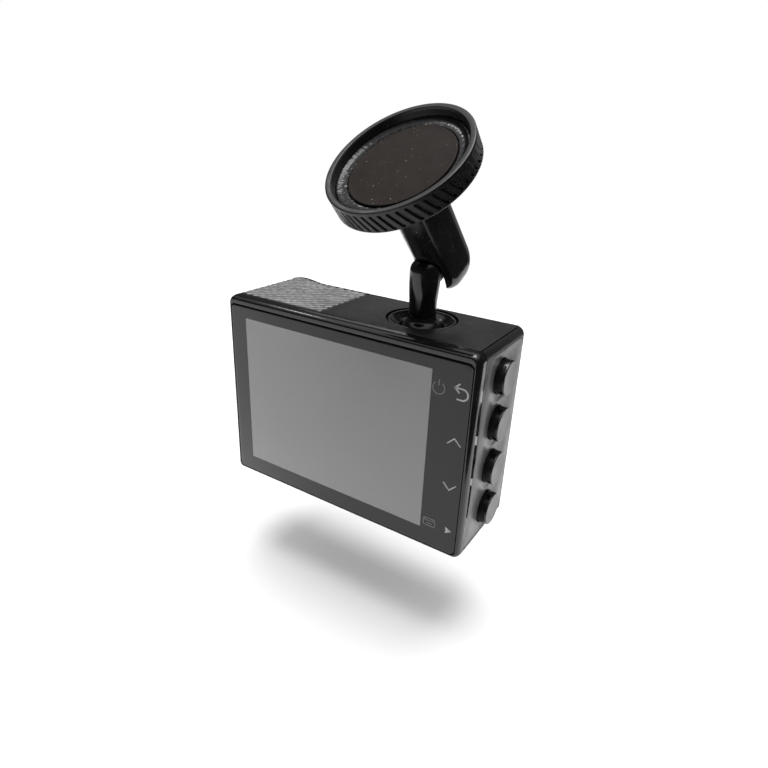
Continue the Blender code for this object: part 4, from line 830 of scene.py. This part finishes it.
def make_stem():
    """Ball, neck and post turned in one, with a flat tongue that reaches out to the arm's pivot."""
    knee = KNEE_Z - BALL_Z
    profile = [(0, -BALL_RADIUS)] + arc((0, 0), BALL_RADIUS, -88, 42, 44)
    edge = profile[-1]
    profile += [(4.2 * MM, edge[1] + 0.22 * MM), (3.98 * MM, edge[1] + 0.5 * MM),
                (3.8 * MM, edge[1] + 0.95 * MM), (3.71 * MM, edge[1] + 1.4 * MM),
                (3.68 * MM, edge[1] + 1.9 * MM)]
    low, high = knee - 2.2 * KNEE_RADIUS, knee - 0.6 * KNEE_RADIUS
    for i in range(9):
        share = i / 8
        smooth = share * share * (3 - 2 * share)
        profile.append(((3.68 + 0.39 * smooth) * MM, low + (high - low) * share))
    profile += [(x, knee + z) for x, z in arc((0, 0), KNEE_RADIUS, 0, 88, 16)] + [(0, knee + KNEE_RADIUS)]
    stem = lathe("ball_stem_looks", facing_up(STEM_X, STEM_Y, BALL_Z), profile, GLOSS, 128)
    link = Vector((-PIVOT_DEEP * MM, PIVOT_BELOW * MM))
    side = Vector((-link.y, link.x)).normalized() * 3 * MM
    angle = math.degrees(math.atan2(link.y, link.x))
    opening = math.degrees(math.asin(3 / 4.2))
    outline = [tuple(link - side), tuple(link + side)] + arc((0, 0), 4.2 * MM, angle + opening,
                                                             angle + 360 - opening, 40)
    carve(stem, [prism("tongue_join", ARM_SIDE, outline, -1.8 * MM, 1.8 * MM)], "UNION")
    carve(stem, [cylinder("eye_cut", ARM_SIDE, 1.35 * MM, -5 * MM, 5 * MM, 48)])
    soften(stem, 0.12 * MM)
    settle(stem, "stem", "gloss_black", "ball_stem")


def knee_path_cutter():
    """The room that the knee sweeps in the arm as the arm tilts."""
    loops = []
    for i in range(25):
        turn = KNEE_ANGLE + TILT_RANGE * i / 24
        ring = []
        for j in range(48):
            spoke = math.tau * j / 48
            out = KNEE_REACH + KNEE_CLEAR * math.cos(spoke)
            ring.append((out * math.cos(turn), out * math.sin(turn), KNEE_CLEAR * math.sin(spoke)))
        loops.append(ring)
    return loft("knee_path_cut", ARM_SIDE, loops)


def post_path_cutter():
    """The room for the post below the knee when the arm is tilted as far as it goes."""
    end = KNEE_ANGLE + TILT_RANGE
    down = math.radians(270) - LEAN + TILT_RANGE
    z_axis = (math.cos(down), math.sin(down), 0)
    knee = (KNEE_REACH * math.cos(end), KNEE_REACH * math.sin(end), 0)
    place = ARM_SIDE @ axes_matrix(knee, (0, 0, -1), (-z_axis[1], z_axis[0], 0), z_axis)
    half = KNEE_CLEAR
    outline = rounded_box(-half, -20 * MM, half, half, (0.2 * MM, 0.2 * MM, 0.98 * half, 0.98 * half), 16)
    return prism("post_path_cut", place, outline, -2 * MM, 16 * MM)


def slot_cutter():
    """The slot in the arm for the stem's tongue, open toward the knee at every tilt."""
    clear, high = 4.55 * MM, 3.35 * MM
    link = Vector((-PIVOT_DEEP, PIVOT_BELOW)).normalized()
    side = Vector((link.y, -link.x)) * high
    far = link * 14 * MM
    angle = math.degrees(math.atan2(link.y, link.x)) - math.degrees(math.asin(high / clear))
    outline = [tuple(far + side), (far.x, -24 * MM), (clear, -20 * MM)] + arc((0, 0), clear, 0, angle, 24)
    return prism("slot_cut", ARM_SIDE, outline, -2.75 * MM, 2.75 * MM)


def make_arm():
    """Pill-shaped arm with a round heel, cut for the stem, the pivot screw and the head's sleeve."""
    top = 28.0 * MM
    sizes = []
    for i in range(1, 25):
        turn = math.pi / 2 * i / 24
        round_off = 1 - math.sin(turn)
        sizes.append((-7.4 * MM * math.cos(turn), 5.06 * MM * (1 - 0.9 * round_off**1.4),
                      7.4 * MM * (1 - 0.94 * round_off)))
    sizes += [(top * i / 10, (5.06 + 0.1 * i) * MM, (7.4 - 0.04 * i) * MM) for i in range(1, 11)]
    rings = []
    for height, half_width, half_depth in sizes:
        corner = min(half_width, half_depth) * 0.93
        outline = rounded_box(-half_width, -half_depth, half_width, half_depth, corner, 14)
        rings.append([(x, y, height) for x, y in outline])
    arm = loft("arm_block_looks", ARM, rings, GLOSS)
    dome = [(0, -KNEE_CLEAR)] + arc((0, 0), KNEE_CLEAR, -86, 86, 40) + [(0, KNEE_CLEAR)]
    carve(arm, [
        slot_cutter(), knee_path_cutter(), post_path_cutter(),
        lathe("knee_cut", facing_up(STEM_X, STEM_Y, KNEE_Z), dome, None, 64),
        cylinder("post_cut", facing_up(STEM_X, STEM_Y, KNEE_Z), KNEE_CLEAR, -12 * MM, 0, 64),
        cylinder("bolt_cut", ARM_SIDE, 1.35 * MM, -9 * MM, 4.14 * MM, 48),
        cylinder("head_cut", ARM_SIDE, 2.25 * MM, -6.06 * MM, -3.86 * MM, 64),
        cylinder("sleeve_cut", ARM, 3.9 * MM, 22.3 * MM, 29 * MM, 64)])
    soften(arm, 0.14 * MM)
    settle(arm, "arm", "gloss_black", "arm_block")


def make_pivot():
    head = -4.96 * MM
    profile = [(0, head + 0.7 * MM), (0.9 * MM, head + 0.7 * MM), (0.9 * MM, head), (2 * MM, head),
               (2 * MM, head + MM), (1.1 * MM, head + MM), (1.1 * MM, 3.84 * MM), (0, 3.84 * MM)]
    lathe("pivot_screw_looks", ARM_SIDE, rounded_profile(profile, 0.12 * MM), STEEL, 64, body="arm",
          slot="steel", replaced=["pivot_screw"])


# ---------------------------------------------------------------- suction head


def make_ring():
    """Turning ring: slanted ribs between two smooth bands outside, a plain wall and a lip inside."""
    ribs, points = 54, 12
    turned = math.radians(-8)
    rows = [(-5.6, 18.0, 0.0, 0.0), (-5.55, 18.14, 0.0, 0.0), (-5.42, 18.25, 0.0, 0.0),
            (-5.23, 18.25, 0.0, 0.0)]
    for i in range(17):
        share = i / 16
        ends = min(1.0, min(share, 1 - share) * 4.4 / 0.3)
        rows.append((-5.2 + 4.4 * share, 18.25, math.sqrt(ends), turned * share))
    rows += [(z, r, 0.0, turned) for z, r in ((-0.77, 18.25), (-0.22, 18.25), (-0.1, 18.2), (-0.03, 18.08),
                                              (0.0, 17.9), (0.0, 17.1), (-0.03, 16.93), (-0.12, 16.84),
                                              (-0.6, 16.6), (-4.62, 16.6), (-4.7, 16.52), (-4.7, 15.2),
                                              (-4.78, 15.1), (-5.52, 15.1), (-5.6, 15.2))]
    loops = []
    for z, radius, depth, twist in rows:
        loop = []
        for i in range(ribs * points):
            place = (i / points) % 1.0
            dip = min(1.0, max(0.0, min(place - 0.55, 1.0 - place) / 0.13))
            out = radius - 0.55 * depth * dip * dip * (3 - 2 * dip)
            turn = math.tau * i / (ribs * points) + twist
            loop.append((out * math.cos(turn) * MM, out * math.sin(turn) * MM, z * MM))
        loops.append(loop)
    loft("knurled_ring_looks", HEAD, loops, SATIN, closed=True, sharp=50, body="ring", slot="satin_black",
         replaced=["knurled_ring"])


def make_head():
    """Carrier disc, soft dish with a crinkled face and the sticky pad."""
    disc = in_mm([(2.25, -11), (3.6, -11), (3.6, -5.6), (14.8, -5.6), (14.8, -4.4), (16.3, -4.4),
                  (16.3, -3.4), (13.7, -3.4), (13.7, -4.37), (2.25, -4.37)])
    lathe("base_disc_looks", HEAD, rounded_profile(disc, 0.15 * MM), SATIN, 160, body="arm",
          slot="satin_black", replaced=["base_disc"])
    low = -3.1 * MM
    face = [(16.25, 1.1), (15.9, 1.15), (15.7, 1.0), (15.2, 0.72), (14.7, 0.6), (14.2, 0.52), (13.75, 0.5)]
    profile = [(13.75 * MM, low), (16.25 * MM, low)] + [(x, low + z) for x, z in in_mm(face)]
    shape = lathe_shape(profile, 420)
    for vert in shape.verts:
        if vert.co.z > low + 0.3 * MM:
            away = math.atan2(vert.co.y, vert.co.x) - math.radians(-145)
            away = (away + math.pi) % math.tau - math.pi
            amount = 0.05 + 0.22 * math.exp(-((away / 0.5) ** 2))
            vert.co.z += amount * MM * perlin.noise(vert.co * 1600)
    add_piece("suction_dish_looks", shape, HEAD, RUBBER, "arm", "rubber", ["suction_dish"])
    edge = 13.4 * MM
    pad = [(0, -3.1 * MM), (edge, -3.1 * MM), (edge, -2.5 * MM)]
    pad += arc((edge - 0.3 * MM, -2.5 * MM), 0.3 * MM, 10, 90, 6)
    pad += [(edge * share, (-2.2 - 0.05 * math.sin(share * 9)) * MM)
            for share in (0.95, 0.9, 0.8, 0.65, 0.5, 0.3)]
    pad.append((0, -2.22 * MM))
    lathe("gel_pad_looks", HEAD, pad, GEL, 160, body="core", slot="gel_brown", replaced=["gel_pad"])


make_front_frame()
make_rear_shell()
make_top_plate()
make_pod_cover()
make_side_panel()
make_glass()
make_icons()
make_buttons()
make_lens()
make_socket()
make_stem()
make_arm()
make_pivot()
make_ring()
make_head()


# ---------------------------------------------------------------- studio


def floor_surface():
    made, tree, shader, place = new_surface("floor", 0.7)
    linked(tree, shader.inputs["Base Color"], mixed(tree, noise(tree, place, 2, 2), (0.8,) * 3, (0.81,) * 3))
    shader.inputs["Emission Color"].default_value = (1.0, 1.0, 1.0, 1.0)
    shader.inputs["Emission Strength"].default_value = 0.20
    return made


def make_floor():
    """A white table. Past its edge the reflections see the dim room and the camera the white background."""
    edge = [(-0.90, -1.10), (-0.16, -1.10), (0.235, 0.40), (-0.90, 0.40)]
    table = prism("floor", facing_up(0, 0, -30 * MM), edge, -0.05 * MM, 0, floor_surface())


def make_world():
    """White for the camera. Reflections see a dim room with a window low behind and a bright ceiling."""
    world = bpy.data.worlds.new("studio")
    bpy.context.scene.world = world
    world.use_nodes = True
    tree = world.node_tree
    direction = add(tree, "ShaderNodeTexCoord").outputs["Generated"]
    parts = add(tree, "ShaderNodeSeparateXYZ", {"Vector": direction}).outputs
    across = maths(tree, "MULTIPLY", parts["X"], -0.10)
    behind = maths(tree, "ADD", across, maths(tree, "MULTIPLY", parts["Y"], 0.995))
    window = remap(tree, behind, 0.80, 0.95, 0.0, 1.0, True)
    low = remap(tree, parts["Z"], 0.12, 0.5, 0.28, 0.0, True)
    overhead = remap(tree, parts["Z"], 0.55, 0.9, 0.06, 1.2, True)
    level = maths(tree, "MAXIMUM", maths(tree, "MULTIPLY", window, low), overhead)
    seen = add(tree, "ShaderNodeLightPath").outputs["Is Camera Ray"]
    tint = mixed(tree, maths(tree, "MAXIMUM", level, seen), (0, 0, 0), (1.0, 1.0, 1.0))
    linked(tree, tree.nodes["Background"].inputs["Color"], tint)
    tree.nodes["Background"].inputs["Strength"].default_value = 1.0


def make_light(name, kind, at, energy, glints_only=False, **settings):
    """A lamp aimed at the middle of the object. One for glints shows in gloss and lights nothing else."""
    lamp = bpy.data.lights.new(name, kind)
    lamp.energy = energy
    for key, value in settings.items():
        setattr(lamp, key, value)
    made = bpy.data.objects.new(name, lamp)
    bpy.context.scene.collection.objects.link(made)
    made.location = at
    made.visible_diffuse = not glints_only
    made.rotation_euler = (Vector((0, 0, 0.04)) - made.location).to_track_quat("-Z", "Y").to_euler()


def make_camera():
    """The viewer's place and lens, with the picture's right, its down and straight ahead as directions."""
    right = Vector((0.840643, 0.539984, 0.041665))
    down = Vector((0.250664, -0.319727, -0.913752))
    ahead = Vector((-0.48009, 0.778583, -0.404131))
    data = bpy.data.cameras.new("camera")
    data.lens = 27.63
    data.sensor_width = 36
    data.clip_start = 0.005
    camera = bpy.data.objects.new("camera", data)
    bpy.context.scene.collection.objects.link(camera)
    camera.matrix_world = axes_matrix((0.08658, -0.13112, 0.10500), right, -down, -ahead)
    bpy.context.scene.camera = camera


make_floor()
make_world()
make_light("key", "SUN", (-0.03, 0.06, 1.0), 3.0, angle=math.radians(42))
make_light("spark", "AREA", (-0.45, 0.06, 0.58), 0.20, glints_only=True, shape="DISK", size=0.07)
make_light("behind", "AREA", (-0.38, 0.60, 0.38), 0.09, glints_only=True, shape="RECTANGLE", size=0.30,
           size_y=0.10)
make_camera()
bpy.context.scene.view_settings.view_transform = "Standard"
